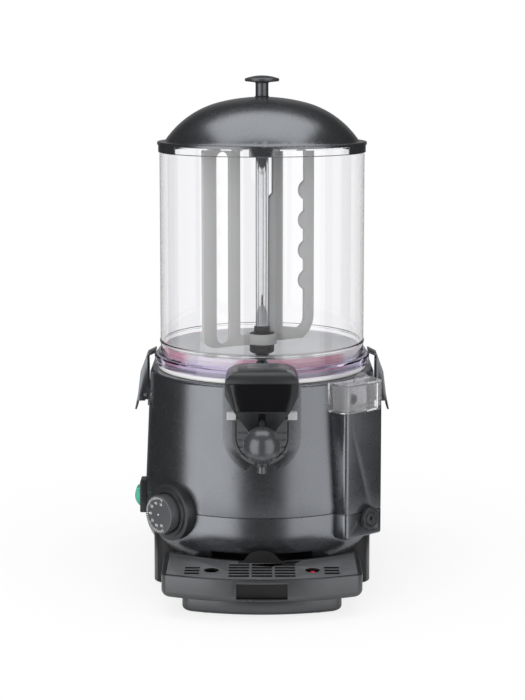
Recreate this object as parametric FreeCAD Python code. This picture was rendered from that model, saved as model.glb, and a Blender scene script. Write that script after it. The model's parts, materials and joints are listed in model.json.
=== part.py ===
import FreeCAD, Part
import math
import os

# Heated drink dispenser with a clear bowl, a stirrer, a lever tap and a drip tray.
# Millimetres. +Z is up, the front faces -Y, and the bowl's axis is the Z axis.

V = FreeCAD.Vector
UP = V(0, 0, 1)
RIGHT = V(1, 0, 0)
BACK = V(0, 1, 0)

# Clearances
RUNNING = 0.05          # radial, between a turning or sliding piece and its bore
LOOSE = 0.4             # round pieces that only pass through a hole
SEAT = 0.2              # between a piece that lifts off and what it rests on
SKIN = 0.05             # between fixed pieces that follow the same curved face

# Body
WALL = 3.0
DECK_Z = 241.0
SEAM_Z = 94.0
DECK_HALF = 130.0
SEAM_HALF = 136.4
DECK_NOSE = 125.0
SEAM_NOSE = 136.0
NOSE_R = 160.0
SHOULDER_R = 120.0
REAR_Y = 197.0
REAR_R = 62.0
DECK_ROUND = 5.0
UNDER_Z = 28.0
UNDER_R = 46.0
NOTCH_HALF = 56.5
NOTCH_TOP = 53.5

# Pedestal, foot and base
FEET_Z = 2.5
PEDESTAL_HALF = 124.0
PEDESTAL_FRONT = -77.0
PEDESTAL_REAR = REAR_Y - 13.0
PEDESTAL_TOP = UNDER_Z + 32.0
PEDESTAL_R = 20.0
FOOT_HALF = 87.0
FOOT_TIP = -190.0
FOOT_TOP = 20.0
FOOT_R = 250.0
BASE_THICK = 1.5
RUBBER_R = 11.0

# Rear
PANEL_HALF = 66.0
PANEL_Z = (132.0, 222.0)
PANEL_SCREWS = [(x, z) for x in (-PANEL_HALF + 4, PANEL_HALF - 4) for z in (PANEL_Z[0] + 4, PANEL_Z[1] - 4)]
GLAND = V(42.0, REAR_Y, 112.0)

# Bath and bowl
BOWL_R = 118.5
BOWL_WALL = 3.5
BOWL_TOP = 500.6
BOWL_FOOT_R = BOWL_R + 7.0
BOWL_RIDGE_Z = 273.0
BEAD_Z = BOWL_TOP - 7.6
BEAD_R = BOWL_R + 0.9
TANK_R = BOWL_R - 4.5
TANK_FLOOR = 178.0
TANK_WALL = 1.2
RIM_R = BOWL_R + 2.5
RIM_TOP = DECK_Z + 6.6
BOWL_FOOT_Z = RIM_TOP + 0.6
BOWL_FOOT_TOP = BOWL_FOOT_Z + 9.8
DISH_R = BOWL_R - BOWL_WALL - 3.8
DISH_EDGE = BOWL_FOOT_TOP + 10.0
DISH_MIDDLE = DISH_EDGE - 13.5
HEATER_R = 78.0
HEATER_LEG_X = 12.0
HEATER_Y = math.sqrt(HEATER_R ** 2 - HEATER_LEG_X ** 2)
SPOUT_BORE = 6.0
SPOUT_R = 8.3
SPOUT_Z = 264.0
BUSH_R = 8.0
SLEEVE_R = 11.0

# Lid
LID_R = BOWL_R + 2.7
LID_Z = BOWL_TOP + 0.4
LID_FLANGE = 3.5
DOME_FOOT_R = LID_R - 9.2
DOME_FOOT_Z = LID_Z + 4.5
DOME_TOP_Z = DOME_FOOT_Z + 50.0
DOME_CROWN_R = 200.0
DOME_CROWN_EDGE = 50.0
LID_WALL = 2.5
TAB_THICK = 1.3
KNOB_R = 20.0
KNOB_CAP_Z = DOME_TOP_Z + 16.5
KNOB_TOP = KNOB_CAP_Z + 8.0
KNOB_STEM_R = 7.5
KNOB_BORE_R = 2.5

# Stirrer
SHAFT_R = 4.0
COLUMN_R = 7.75
COLUMN_TOP = BOWL_TOP - 3.6
HUB_R = 14.5
HUB_Z = 257.0
HUB_TOP = HUB_Z + 24.0
COLLAR_R = 9.6
COLLAR_TOP = HUB_TOP + 7.0
PADDLE_THICK = 5.0
PADDLE_TURN = 30.0
PADDLE_Z = HUB_Z + 13.0
PADDLE_TOP = BOWL_TOP - 1.6
PADDLE_BAR_TOP = PADDLE_TOP - 5.5
PADDLE_LEFT = (-78.0, -61.0, -44.0, -30.0)
PADDLE_RIGHT = (8.0, 14.0, 27.0, 57.0, 70.0)
WAVES = 4
WAVE_PITCH = 35.6
WAVE_TOP = PADDLE_BAR_TOP - 47.9
WAVE_DEPTH = 7.0
WEB_TOP = WAVE_TOP - 7.6

# Gear motor
MOTOR_TOP = 168.0
GEARBOX_Z = MOTOR_TOP - 30.0
MOTOR_Z = GEARBOX_Z - 40.0
GEARBOX_X = 42.0
GEARBOX_Y = 34.0
MOTOR_R = 30.0
SCREW_X = 34.0
SCREW_Y = 26.0

# Tap
BARREL_R = 8.5
PLATE_Y = -131.0
PIVOT_Y = PLATE_Y - 4.5
TAP_Y = PIVOT_Y - BARREL_R - 3.0
PIVOT_Z = 210.5
BARREL_BORE_R = BARREL_R - 2.0
BARREL_Z = 157.0
BARREL_TOP = 261.0
PISTON_Z = 165.5
PISTON_TOP = 232.0
PISTON_LIFT = 3.3
PISTON_PIN_R = 1.8
NOZZLE_R = 5.0
NOZZLE_Z = 149.0
PLATE_HALF = 43.0
PLATE_Z = 144.0
SURROUND_HALF = 32.4
SURROUND_Z = 154.0
SURROUND_TOP = 225.5
SURROUND_Y = -134.0
LEVER_PIN_R = 2.0
LEVER_NEAR = 24.6         # bridge of the lever, in front of its pivot
LEVER_FAR = 28.6
LEVER_LOW = 0.5
LEVER_HIGH = 6.5
LUG_IN = 28.0
LUG_OUT = 38.5
ARM_IN = BARREL_R + 2.0
ARM_OUT = 14.5
BALL_R = 20.0
BALL_Y = -185.0
BALL_Z = 188.6
HOOD_HALF = 40.0
HOOD_TOP = 268.0
HOOD_LOW = 197.0
HOOD_WALL = 2.5
SLOT_HALF = 3.75
STEM_R = 3.2

# Dial and switch
DIAL_Z = 93.5
DIAL_TURN = 45.0
DIAL_RADIUS = 139.6
DIAL_RING_R = 32.0
DIAL_LIP_R = 27.0
DIAL_KNOB_R = 21.5
DIAL_FACE = 24.0
DIAL_AXIS = V(-math.sin(math.radians(DIAL_TURN)), -math.cos(math.radians(DIAL_TURN)), 0)
DIAL_SEAT = DIAL_AXIS * DIAL_RADIUS + V(0, 0, DIAL_Z)
SPINDLE_R = 4.2
THERMOSTAT_R = 18.0
SWITCH_Y = -20.0
SWITCH_Z = 92.0
SWITCH_H = 36.0
SWITCH_W = 28.0
SWITCH_X = -142.0
ROCKER_H = 23.5
ROCK_X = SWITCH_X + 5.0
ROCK_REST = 7.0
ROCK_PIN_R = 1.2
ROCK_PIN_HALF = 9.0

# Water filler, seen in plan as four corners
BOX_CORNERS = ((65.0, -99.0), (93.0, -124.0), (135.5, -89.0), (118.0, -55.0))
BOX_Z = 66.0
CUP_Z = 208.0
CUP_WALL = 2.0
CUP_LID_THICK = 2.5
DRAIN_Z = 87.0
DRAIN_SHARE = 0.62
DRAIN_R = 12.0
PIPE_R = 6.0
DRAIN_RUN = 166.0 - TANK_R    # the pipe reaches on inward under a smaller bath
FILLER_Z = DECK_Z - 22.0
BOX_SIDE = V(BOX_CORNERS[2][0] - BOX_CORNERS[1][0], BOX_CORNERS[2][1] - BOX_CORNERS[1][1], 0)
BOX_ALONG = V(BOX_SIDE).normalize()
DRAIN_AXIS = V(-BOX_SIDE.y, BOX_SIDE.x, 0).normalize() * -1
DRAIN_SEAT = V(BOX_CORNERS[1][0], BOX_CORNERS[1][1], DRAIN_Z) + BOX_SIDE * DRAIN_SHARE
CUP_CENTRE = V(sum(c[0] for c in BOX_CORNERS) / 4, sum(c[1] for c in BOX_CORNERS) / 4, FILLER_Z)
FILLER_AXIS = V(CUP_CENTRE.x, CUP_CENTRE.y, 0).normalize()
# The lid's hinge line runs along the box, just outside the widest point of the deck
HINGE_OUT = DECK_HALF + 2.6
HINGE_R = CUP_LID_THICK / 2
HINGE_PIN_R = 0.7
EAR = 2.5

# Latches, |X| and Z of the side outline
LATCH_PIN_X = 136.7
LATCH_PIN_Z = 209.3
LATCH_PIN_R = 1.6
LATCH_HALF = 14.0
LATCH_SHEET = 2.0

# Drip tray
TRAY_HALF = 109.0
TRAY_Z = 20.3
TRAY_TOP = NOTCH_TOP - 7.5
TRAY_TIP = -205.0
TRAY_R = 285.0
TRAY_BACK = -131.0
TRAY_BACK_R = 166.0
TRAY_WALL = 2.5
GRID_HALF = 85.0
GRID_THICK = 3.0
GRID_HOLE_R = 8.0
GRID_HOLE_X = 55.0
FLOAT_R = 3.5
FLOAT_Y = -166.0
PULL_HALF = 27.5
PULL_H = 16.5


# General shapes

def rod(radius, z0, z1, x=0.0, y=0.0):
    return Part.makeCylinder(radius, z1 - z0, V(x, y, z0))


def tube(outer, inner, z0, z1, x=0.0, y=0.0):
    return rod(outer, z0, z1, x, y).cut(rod(inner, z0 - 1, z1 + 1, x, y))


def bar(radius, start, end):
    return Part.makeCylinder(radius, (end - start).Length, start, end - start)


def block(x0, x1, y0, y1, z0, z1):
    return Part.makeBox(x1 - x0, y1 - y0, z1 - z0, V(x0, y0, z0))


def outline(place, start, *steps):
    """Closed wire. A step is the next point, or (a point on an arc, the arc's end)."""
    edges = []
    here = start
    for step in steps:
        if isinstance(step[0], tuple):
            middle, end = step
            edges.append(Part.Arc(place(*here), place(*middle), place(*end)).toShape())
        else:
            end = step
            edges.append(Part.makeLine(place(*here), place(*end)))
        here = end
    if here != start:
        edges.append(Part.makeLine(place(*here), place(*start)))
    return Part.Wire(edges)


def plan(z):
    return lambda x, y: V(x, y, z)


def front(y):
    return lambda x, z: V(x, y, z)


def side(x):
    return lambda y, z: V(x, y, z)


def pushed(wire, vector):
    return Part.Face(wire).extrude(vector)


def crown(radius, rim_z, top_z):
    """Arc step from a rim up to the axis, square to the axis at its top."""
    rise = top_z - rim_z
    sphere = (radius ** 2 + rise ** 2) / (2 * rise)
    half = radius / 2
    return (half, top_z - sphere + math.sqrt(sphere ** 2 - half ** 2)), (0, top_z)


def turned(start, *steps):
    """Solid of revolution about Z from a closed outline in radius and height."""
    wire = outline(lambda r, z: V(r, 0, z), start, *steps)
    return Part.Face(wire).revolve(V(0, 0, 0), UP, 360)


def joined(first, *others):
    result = first
    for other in others:
        result = result.fuse(other)
    return result.removeSplitter()


def mirrored(shape):
    return shape.mirror(V(0, 0, 0), RIGHT)


def edges_where(shape, test):
    return [edge for edge in shape.Edges if test(edge)]


def level(z):
    """Test for edges that lie at one height."""
    return lambda edge: abs(edge.BoundBox.ZMin - z) < 0.01 and abs(edge.BoundBox.ZMax - z) < 0.01


# Body shells

def body_plan(z, inset=0.0):
    """Outline of the body at a height: a blunt nose, round shoulders, round rear corners."""
    share = min(1.0, (DECK_Z - z) / (DECK_Z - SEAM_Z))
    half = DECK_HALF + (SEAM_HALF - DECK_HALF) * share - inset
    nose = DECK_NOSE + (SEAM_NOSE - DECK_NOSE) * share - inset
    shrink = (1.0 - share) * (SEAM_HALF - DECK_HALF) + inset
    nose_r = NOSE_R - shrink
    shoulder = SHOULDER_R - shrink
    rear = REAR_Y - inset
    corner = REAR_R - inset
    nose_y = nose_r - nose
    side_x = half - shoulder
    side_y = nose_y - math.sqrt((nose_r - shoulder) ** 2 - side_x ** 2)
    lean = math.atan2(side_x, nose_y - side_y)
    join = (nose_r * math.sin(lean), nose_y - nose_r * math.cos(lean))
    swing = (math.pi / 2 - lean) / 2 + lean
    mid = (side_x + shoulder * math.sin(swing), side_y - shoulder * math.cos(swing))
    bend = corner * (1 - math.sqrt(0.5))
    return outline(
        plan(z), (-join[0], join[1]), ((0, -nose), join),
        (mid, (half, side_y)), (half, rear - corner),
        ((half - bend, rear - bend), (half - corner, rear)), (corner - half, rear),
        ((bend - half, rear - bend), (-half, rear - corner)), (-half, side_y),
        ((-mid[0], mid[1]), (-join[0], join[1])))


def upper_form(inset=0.0, z0=SEAM_Z, z1=DECK_Z):
    return Part.makeLoft([body_plan(z0, inset), body_plan(z1, inset)], True, True)


def lower_form(inset=0.0):
    floor = UNDER_Z + inset
    form = pushed(body_plan(SEAM_Z, inset).translated(V(0, 0, floor - SEAM_Z)), V(0, 0, SEAM_Z - floor))
    return form.makeFillet(UNDER_R - inset, edges_where(form, level(floor)))


def pedestal_form(inset=0.0, z0=FEET_Z, z1=PEDESTAL_TOP):
    form = block(-PEDESTAL_HALF + inset, PEDESTAL_HALF - inset, PEDESTAL_FRONT + inset,
                 PEDESTAL_REAR - inset, z0, z1)
    upright = edges_where(form, lambda e: e.BoundBox.ZLength > 1)
    return form.makeFillet(PEDESTAL_R - inset, upright)


def make_upper_housing():
    form = upper_form()
    form = form.makeFillet(DECK_ROUND, edges_where(form, level(DECK_Z)))
    shell = form.cut(upper_form(WALL, SEAM_Z, DECK_Z - WALL))
    shell = shell.cut(rod(TANK_R + LOOSE, DECK_Z - WALL - 5, DECK_Z + 1))
    shell = shell.cut(bar(DIAL_LIP_R - 6, DIAL_SEAT - DIAL_AXIS * 20, DIAL_SEAT + DIAL_AXIS * 20))
    shell = shell.cut(switch_window(LOOSE))
    shell = shell.cut(bar(PIPE_R + LOOSE, drain_start(), DRAIN_SEAT))
    shell = shell.cut(bar(PIPE_R + LOOSE, FILLER_AXIS * 100 + V(0, 0, FILLER_Z),
                          FILLER_AXIS * 150 + V(0, 0, FILLER_Z)))
    shell = shell.cut(panel_window()).cut(bar(9 + SKIN, GLAND - BACK * 9, GLAND + BACK * 9))
    for x, z in PANEL_SCREWS:
        shell = shell.cut(bar(1.5 + SKIN, V(x, REAR_Y - WALL - 1, z), V(x, REAR_Y - 0.9, z)))
    # A shadow groove where the two housings meet
    groove = upper_form(-2, SEAM_Z - 1, SEAM_Z + 1.2).cut(upper_form(1.0, SEAM_Z - 2, SEAM_Z + 2))
    return shell.cut(groove)


def make_lower_housing():
    shell = lower_form().cut(lower_form(WALL).fuse(pushed(body_plan(SEAM_Z, WALL), V(0, 0, 10))))
    pocket = block(-NOTCH_HALF - WALL, NOTCH_HALF + WALL, -150, PEDESTAL_FRONT - SEAT, UNDER_Z,
                   NOTCH_TOP + WALL).common(lower_form())
    shell = shell.fuse(pocket)
    shell = shell.cut(block(-NOTCH_HALF, NOTCH_HALF, -160, PEDESTAL_FRONT - WALL, 0, NOTCH_TOP))
    shell = shell.cut(pedestal_form(-SEAT, 0, PEDESTAL_TOP + 20))
    shell = shell.cut(bar(DIAL_LIP_R - 6, DIAL_SEAT - DIAL_AXIS * 20, DIAL_SEAT + DIAL_AXIS * 20))
    shell = shell.cut(switch_window(LOOSE))
    shell = shell.cut(bar(PIPE_R + LOOSE, drain_start(), DRAIN_SEAT))
    return shell


def make_pedestal():
    shell = pedestal_form().cut(pedestal_form(WALL, FEET_Z + WALL, PEDESTAL_TOP + 1))
    for x in (-90, 90):
        for y in (-50, 160):
            shell = shell.cut(rod(RUBBER_R + LOOSE, 0, FEET_Z + 1.5, x, y))
    return shell


def make_front_foot():
    chord = FOOT_R - math.sqrt(FOOT_R ** 2 - FOOT_HALF ** 2)
    corner_y = FOOT_TIP + chord
    wire = outline(plan(FEET_Z), (-FOOT_HALF, PEDESTAL_FRONT - SEAT), (-FOOT_HALF, corner_y),
                   ((0, FOOT_TIP), (FOOT_HALF, corner_y)), (FOOT_HALF, PEDESTAL_FRONT - SEAT))
    form = pushed(wire, V(0, 0, FOOT_TOP - FEET_Z))
    corners = edges_where(form, lambda e: e.BoundBox.ZLength > 1 and e.BoundBox.YMax < -100)
    form = form.makeFillet(16, corners)
    low = edges_where(form, lambda e: level(FEET_Z)(e) and e.BoundBox.YMin < PEDESTAL_FRONT - 1)
    form = form.makeFillet(4, low)
    hollow = block(-FOOT_HALF + 8, FOOT_HALF - 8, -150, PEDESTAL_FRONT - WALL, 0, FOOT_TOP - WALL)
    form = form.cut(hollow)
    for x in (-60, 60):
        form = form.fuse(tube(5, 1.6, FEET_Z, FOOT_TOP - WALL, x, -120))
    for x in (-60, 60):
        form = form.cut(rod(8, 0, FEET_Z + 1, x, -165))
    return form


def make_base_plate():
    return pedestal_form(WALL + SEAT, FEET_Z + WALL, FEET_Z + WALL + BASE_THICK)


def make_rubber_feet():
    feet = [rod(RUBBER_R, 0, FEET_Z + 1.5, x, y) for x in (-90, 90) for y in (-50, 160)]
    feet += [rod(7.6, 0, FEET_Z + 1, x, -165) for x in (-60, 60)]
    return Part.makeCompound(feet)


def panel_window():
    return block(-PANEL_HALF + 8, PANEL_HALF - 8, REAR_Y - 12, REAR_Y + 5, PANEL_Z[0] + 8, PANEL_Z[1] - 8)


def make_rear_panel():
    """Service panel screwed to the inside of the rear wall, with vent slots."""
    y = REAR_Y - WALL - SKIN
    panel = block(-PANEL_HALF, PANEL_HALF, y - 1.8, y, *PANEL_Z)
    rows = 6
    step = (PANEL_Z[1] - PANEL_Z[0] - 30) / (rows - 1)
    for row in range(rows):
        z = PANEL_Z[0] + 13 + row * step
        for x in (-26, 26):
            panel = panel.cut(block(x - 20, x + 20, y - 5, y + 5, z, z + 4))
    for x, z in PANEL_SCREWS:
        panel = panel.cut(bar(1.8, V(x, y - 5, z), V(x, y + 2, z)))
    return panel


def make_panel_screws():
    y = REAR_Y - WALL - SKIN
    screws = []
    for x, z in PANEL_SCREWS:
        head = bar(3.2, V(x, y - 1.8, z), V(x, y - 4.0, z))
        shank = bar(1.5, V(x, y - 2, z), V(x, REAR_Y - 1.0, z))
        screws.append(head.fuse(shank))
    return Part.makeCompound(screws)


def make_cord_gland():
    """Bush for the supply cord in the rear wall, with a flange outside and a nut inside."""
    gland = bar(13, GLAND, GLAND + BACK * 2.5)
    gland = gland.fuse(bar(9, GLAND - BACK * (WALL + 8), GLAND + BACK * 8))
    gland = gland.fuse(bar(12, GLAND - BACK * (WALL + 5), GLAND - BACK * WALL))
    return gland.cut(bar(4, GLAND - BACK * 20, GLAND + BACK * 20))


# Bath, motor and plumbing

def make_bath_tank():
    inner = TANK_R - TANK_WALL
    sleeve = SLEEVE_R - TANK_WALL
    top = DISH_MIDDLE - 6
    tank = turned((sleeve, TANK_FLOOR), (TANK_R, TANK_FLOOR), (TANK_R, DECK_Z),
                  (inner, DECK_Z), (inner, TANK_FLOOR + TANK_WALL),
                  (SLEEVE_R, TANK_FLOOR + TANK_WALL), (SLEEVE_R, top), (sleeve, top))
    tank = tank.cut(bar(PIPE_R, FILLER_AXIS * 90 + V(0, 0, FILLER_Z), FILLER_AXIS * 130 + V(0, 0, FILLER_Z)))
    start = drain_start()
    tank = tank.cut(rod(PIPE_R - 1, TANK_FLOOR - 2, TANK_FLOOR + 5, start.x, start.y))
    for x in (-HEATER_LEG_X, HEATER_LEG_X):
        tank = tank.cut(rod(4 + SKIN, TANK_FLOOR - 2, TANK_FLOOR + 3, x, HEATER_Y))
    return tank


def make_bath_rim():
    return turned((TANK_R - TANK_WALL, DECK_Z), (RIM_R - 1.5, DECK_Z), (RIM_R, DECK_Z + 1.5),
                  (RIM_R, RIM_TOP - 1.5), (RIM_R - 1.5, RIM_TOP), (DISH_R - 3, RIM_TOP),
                  (DISH_R - 3, RIM_TOP - 2), (TANK_R - TANK_WALL, RIM_TOP - 4))


def make_heating_element():
    """Immersed ring heater with two terminals through the bath floor."""
    z = TANK_FLOOR + 14
    ring = Part.makeTorus(HEATER_R, 4, V(0, 0, z), UP, 0, 360).cut(block(-8, 8, 60, 100, z - 6, z + 6))
    legs = [rod(4, TANK_FLOOR - 14, z, x, HEATER_Y) for x in (-12, 12)]
    balls = [Part.makeSphere(4, V(x, HEATER_Y, z)) for x in (-12, 12)]
    nuts = [rod(7, TANK_FLOOR - 4, TANK_FLOOR, x, HEATER_Y) for x in (-12, 12)]
    return joined(ring, *legs, *balls, *nuts)


def make_bowl_floor():
    """Steel dish: a skirt on the rim, a turned edge and a shallow pan round the shaft."""
    skin = 1.2
    edge = DISH_R - 6
    dish = turned((DISH_R, RIM_TOP), (DISH_R, DISH_EDGE), (edge, DISH_EDGE),
                  ((edge / 2 + 12, DISH_MIDDLE + 3.4), (24, DISH_MIDDLE)), (BUSH_R, DISH_MIDDLE),
                  (BUSH_R, DISH_MIDDLE - skin), (24, DISH_MIDDLE - skin),
                  ((edge / 2 + 12, DISH_MIDDLE + 3.4 - skin), (edge, DISH_EDGE - skin)),
                  (DISH_R - skin, DISH_EDGE - skin), (DISH_R - skin, RIM_TOP))
    return dish.cut(bar(SPOUT_BORE + 1.2, spout_point(-95), spout_point(-125)))


def make_bowl_seal():
    inner = DISH_R + SKIN
    outer = BOWL_R - BOWL_WALL - SKIN
    seal = turned((inner, 252), (outer - 0.8, 252), (outer - 0.8, 255), (outer, 257), (outer - 0.8, 259),
                  (outer - 0.8, 262), (outer, 264), (outer - 0.8, 266), (outer - 1.2, 268),
                  (inner, 268))
    return seal.cut(bar(SPOUT_BORE + 1.2, spout_point(-100), spout_point(-125)))


def make_shaft_bush():
    return turned((SHAFT_R + RUNNING, DISH_MIDDLE - 10), (SLEEVE_R - TANK_WALL, DISH_MIDDLE - 10),
                  (SLEEVE_R - TANK_WALL, DISH_MIDDLE - 6), (BUSH_R, DISH_MIDDLE - 6),
                  (BUSH_R, DISH_MIDDLE + 1), (SHAFT_R + RUNNING, DISH_MIDDLE + 1))


def make_gear_motor():
    box = block(-GEARBOX_X, GEARBOX_X, -GEARBOX_Y, GEARBOX_Y, GEARBOX_Z, MOTOR_TOP)
    box = box.makeFillet(6, edges_where(box, lambda e: e.BoundBox.ZLength > 1))
    can = rod(MOTOR_R, MOTOR_Z, GEARBOX_Z, 8, 0)
    can = can.makeFillet(3, edges_where(can, level(MOTOR_Z)))
    motor = box.fuse(can)
    for turn in range(12):
        a = math.radians(turn * 30)
        fin = block(-0.8, 0.8, MOTOR_R - 1, MOTOR_R + 2, MOTOR_Z + 8, GEARBOX_Z)
        fin.rotate(V(0, 0, 0), UP, math.degrees(a))
        motor = motor.fuse(fin.translated(V(8, 0, 0)))
    motor = motor.cut(rod(SHAFT_R + RUNNING, MOTOR_TOP - 12, MOTOR_TOP + 1))
    for x in (-SCREW_X, SCREW_X):
        for y in (-SCREW_Y, SCREW_Y):
            motor = motor.cut(rod(1.8, MOTOR_TOP - 10, MOTOR_TOP + 1, x, y))
    return motor.removeSplitter()


def make_motor_bracket():
    """Hat plate: the gearbox hangs from its web, its flanges meet the bath floor."""
    half = 52.0
    web = block(-half, half, -GEARBOX_Y, GEARBOX_Y, MOTOR_TOP, MOTOR_TOP + 2)
    bracket = web
    for sign in (-1, 1):
        x = sorted((sign * half, sign * (half - 2)))
        flange = sorted((sign * half, sign * (half + 14)))
        bracket = bracket.fuse(block(x[0], x[1], -GEARBOX_Y, GEARBOX_Y, MOTOR_TOP, TANK_FLOOR))
        bracket = bracket.fuse(block(flange[0], flange[1], -GEARBOX_Y, GEARBOX_Y, TANK_FLOOR - 2, TANK_FLOOR))
    bracket = bracket.cut(rod(SLEEVE_R, MOTOR_TOP - 1, MOTOR_TOP + 3))
    for x in (-SCREW_X, SCREW_X):
        for y in (-SCREW_Y, SCREW_Y):
            bracket = bracket.cut(rod(2.2, MOTOR_TOP - 1, MOTOR_TOP + 3, x, y))
    return bracket.removeSplitter()


def make_motor_screws():
    screws = []
    for x in (-SCREW_X, SCREW_X):
        for y in (-SCREW_Y, SCREW_Y):
            shank = rod(1.75, MOTOR_TOP - 9, MOTOR_TOP + 3, x, y)
            head = rod(3.6, MOTOR_TOP + 2, MOTOR_TOP + 4.5, x, y)
            screws.append(shank.fuse(head))
    return Part.makeCompound(screws)


def drain_start():
    """Where the drain pipe meets the bath floor's edge, above its bend."""
    point = DRAIN_SEAT - DRAIN_AXIS * DRAIN_RUN
    return V(point.x, point.y, DRAIN_Z)


def make_drain_pipe():
    bend = 16.0
    corner = drain_start()
    first = DRAIN_SEAT - DRAIN_AXIS * 12
    knee = corner + DRAIN_AXIS * bend
    rise = corner + UP * bend
    bow = corner + DRAIN_AXIS * (bend * (1 - math.sqrt(0.5))) + UP * (bend * (1 - math.sqrt(0.5)))
    top = V(corner.x, corner.y, TANK_FLOOR)
    path = Part.Wire([Part.makeLine(first, knee), Part.Arc(knee, bow, rise).toShape(),
                      Part.makeLine(rise, top)])
    outer = Part.Wire([Part.makeCircle(PIPE_R, first, DRAIN_AXIS)])
    inner = Part.Wire([Part.makeCircle(PIPE_R - 1.5, first, DRAIN_AXIS)])
    pipe = path.makePipeShell([outer], True, False).cut(path.makePipeShell([inner], True, False))
    socket = bar(9, DRAIN_SEAT - DRAIN_AXIS * 12, DRAIN_SEAT)
    socket = socket.cut(bar(6.5, DRAIN_SEAT - DRAIN_AXIS * 10, DRAIN_SEAT + DRAIN_AXIS))
    socket = socket.cut(bar(PIPE_R - 1.5, DRAIN_SEAT - DRAIN_AXIS * 13, DRAIN_SEAT))
    return pipe.fuse(socket)


def make_drain_plug():
    """Screwed cap on the drain socket, with a stem, a raised inner ring and a key hole."""
    cap = bar(DRAIN_R, DRAIN_SEAT + DRAIN_AXIS * SEAT, DRAIN_SEAT + DRAIN_AXIS * 5.5)
    cap = cap.makeFillet(1.2, [e for e in cap.Edges if e.Length > 60][:1])
    groove = bar(9, DRAIN_SEAT + DRAIN_AXIS * 4.3, DRAIN_SEAT + DRAIN_AXIS * 6).cut(
        bar(6.5, DRAIN_SEAT, DRAIN_SEAT + DRAIN_AXIS * 7))
    cap = cap.cut(groove).cut(bar(2, DRAIN_SEAT + DRAIN_AXIS * 2.5, DRAIN_SEAT + DRAIN_AXIS * 7))
    return cap.fuse(bar(6.5 - RUNNING, DRAIN_SEAT - DRAIN_AXIS * 9.5, DRAIN_SEAT + DRAIN_AXIS * 1))


def box_plan(z, grow=0.0):
    """Filler outline in plan, drawn in or out from its centre by a plain scale."""
    size = 1.0 + grow / 32.0
    points = [(CUP_CENTRE.x + (x - CUP_CENTRE.x) * size, CUP_CENTRE.y + (y - CUP_CENTRE.y) * size)
              for x, y in BOX_CORNERS]
    return outline(plan(z), points[0], *points[1:])


def box_form(z0, z1, grow=0.0):
    form = pushed(box_plan(z0, grow), V(0, 0, z1 - z0))
    outer = edges_where(form, lambda e: e.BoundBox.ZLength > 1 and e.CenterOfMass.x > 80
                        and e.CenterOfMass.y < -60)
    return form.makeFillet(5.0, outer)


def body_solid():
    """The closed outside of both housings, used to trim what stands against them."""
    return upper_form(-SKIN).fuse(pushed(body_plan(SEAM_Z, -SKIN), V(0, 0, -60)))


def make_filler_box():
    form = box_form(BOX_Z, CUP_Z)
    form = form.makeFillet(2.5, edges_where(form, lambda e: level(BOX_Z)(e) and e.CenterOfMass.y < -95))
    form = form.cut(pushed(box_plan(BOX_Z, -4), V(0, 0, CUP_Z - BOX_Z - 3)).translated(V(0, 0, 3)))
    seam = box_form(SEAM_Z, SEAM_Z + 1.2, 2).cut(box_form(SEAM_Z - 1, SEAM_Z + 2, -1.5))
    form = form.cut(body_solid()).cut(seam)
    return form.cut(bar(9 + LOOSE, DRAIN_SEAT - DRAIN_AXIS * 14, DRAIN_SEAT + DRAIN_AXIS * 2))


def make_filler_cup():
    """Clear cup on the box: four walls, a floor, and a strip with ears that carries the lid."""
    top = DECK_Z - CUP_LID_THICK - SEAT
    cavity = box_form(CUP_Z + CUP_WALL, top, -2.6 * CUP_WALL).cut(upper_form(-CUP_WALL))
    above = box_form(top, DECK_Z + 1, 3).cut(hinge_side(-HINGE_R - SEAT))
    above = above.cut(hinge_side(HINGE_R).cut(hinge_middle(0)))
    cup = box_form(CUP_Z, DECK_Z).cut(body_solid()).cut(cavity).cut(above)
    cup = cup.fuse(hinge_bar(HINGE_PIN_R, 1.5).common(box_form(CUP_Z, DECK_Z, -0.5)))
    return cup.cut(bar(PIPE_R, FILLER_AXIS * 100 + V(0, 0, FILLER_Z), FILLER_AXIS * 136 + V(0, 0, FILLER_Z)))


def hinge_frame(shape):
    """Places a shape drawn with X along the hinge and -Y outward."""
    turn = math.degrees(math.atan2(BOX_ALONG.y, BOX_ALONG.x))
    placed = shape.copy()
    placed.rotate(V(0, 0, 0), UP, turn)
    return placed


def hinge_ends():
    """Where the hinge line crosses the two short walls of the box, along the line."""
    ends = []
    for a, b in ((BOX_CORNERS[0], BOX_CORNERS[1]), (BOX_CORNERS[3], BOX_CORNERS[2])):
        pa, pb = V(a[0], a[1], 0), V(b[0], b[1], 0)
        share = (HINGE_OUT - pa.dot(DRAIN_AXIS)) / (pb - pa).dot(DRAIN_AXIS)
        ends.append((pa + (pb - pa) * share).dot(BOX_ALONG))
    return min(ends), max(ends)


def hinge_side(out):
    """Everything on the body's side of a line that lies so far outside the hinge line."""
    return hinge_frame(block(-300, 300, -(HINGE_OUT + out), 300, 0, 400))


def hinge_middle(gap):
    """The stretch of the hinge line between the ears."""
    low, high = hinge_ends()
    return hinge_frame(block(low + EAR + gap, high - EAR - gap, -400, 400, 0, 400))


def hinge_bar(radius, reach):
    low, high = hinge_ends()
    z = DECK_Z - HINGE_R
    whole = bar(radius, V(low, -HINGE_OUT, z), V(low + EAR + reach, -HINGE_OUT, z)).fuse(
        bar(radius, V(high - EAR - reach, -HINGE_OUT, z), V(high, -HINGE_OUT, z)))
    return hinge_frame(whole)


def make_filler_tube():
    start = FILLER_AXIS * (TANK_R - 4) + V(0, 0, FILLER_Z)
    end = FILLER_AXIS * 137 + V(0, 0, FILLER_Z)
    form = bar(PIPE_R - RUNNING, start, end).cut(bar(PIPE_R - 1.6, start - FILLER_AXIS, end + FILLER_AXIS))
    return form


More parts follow.
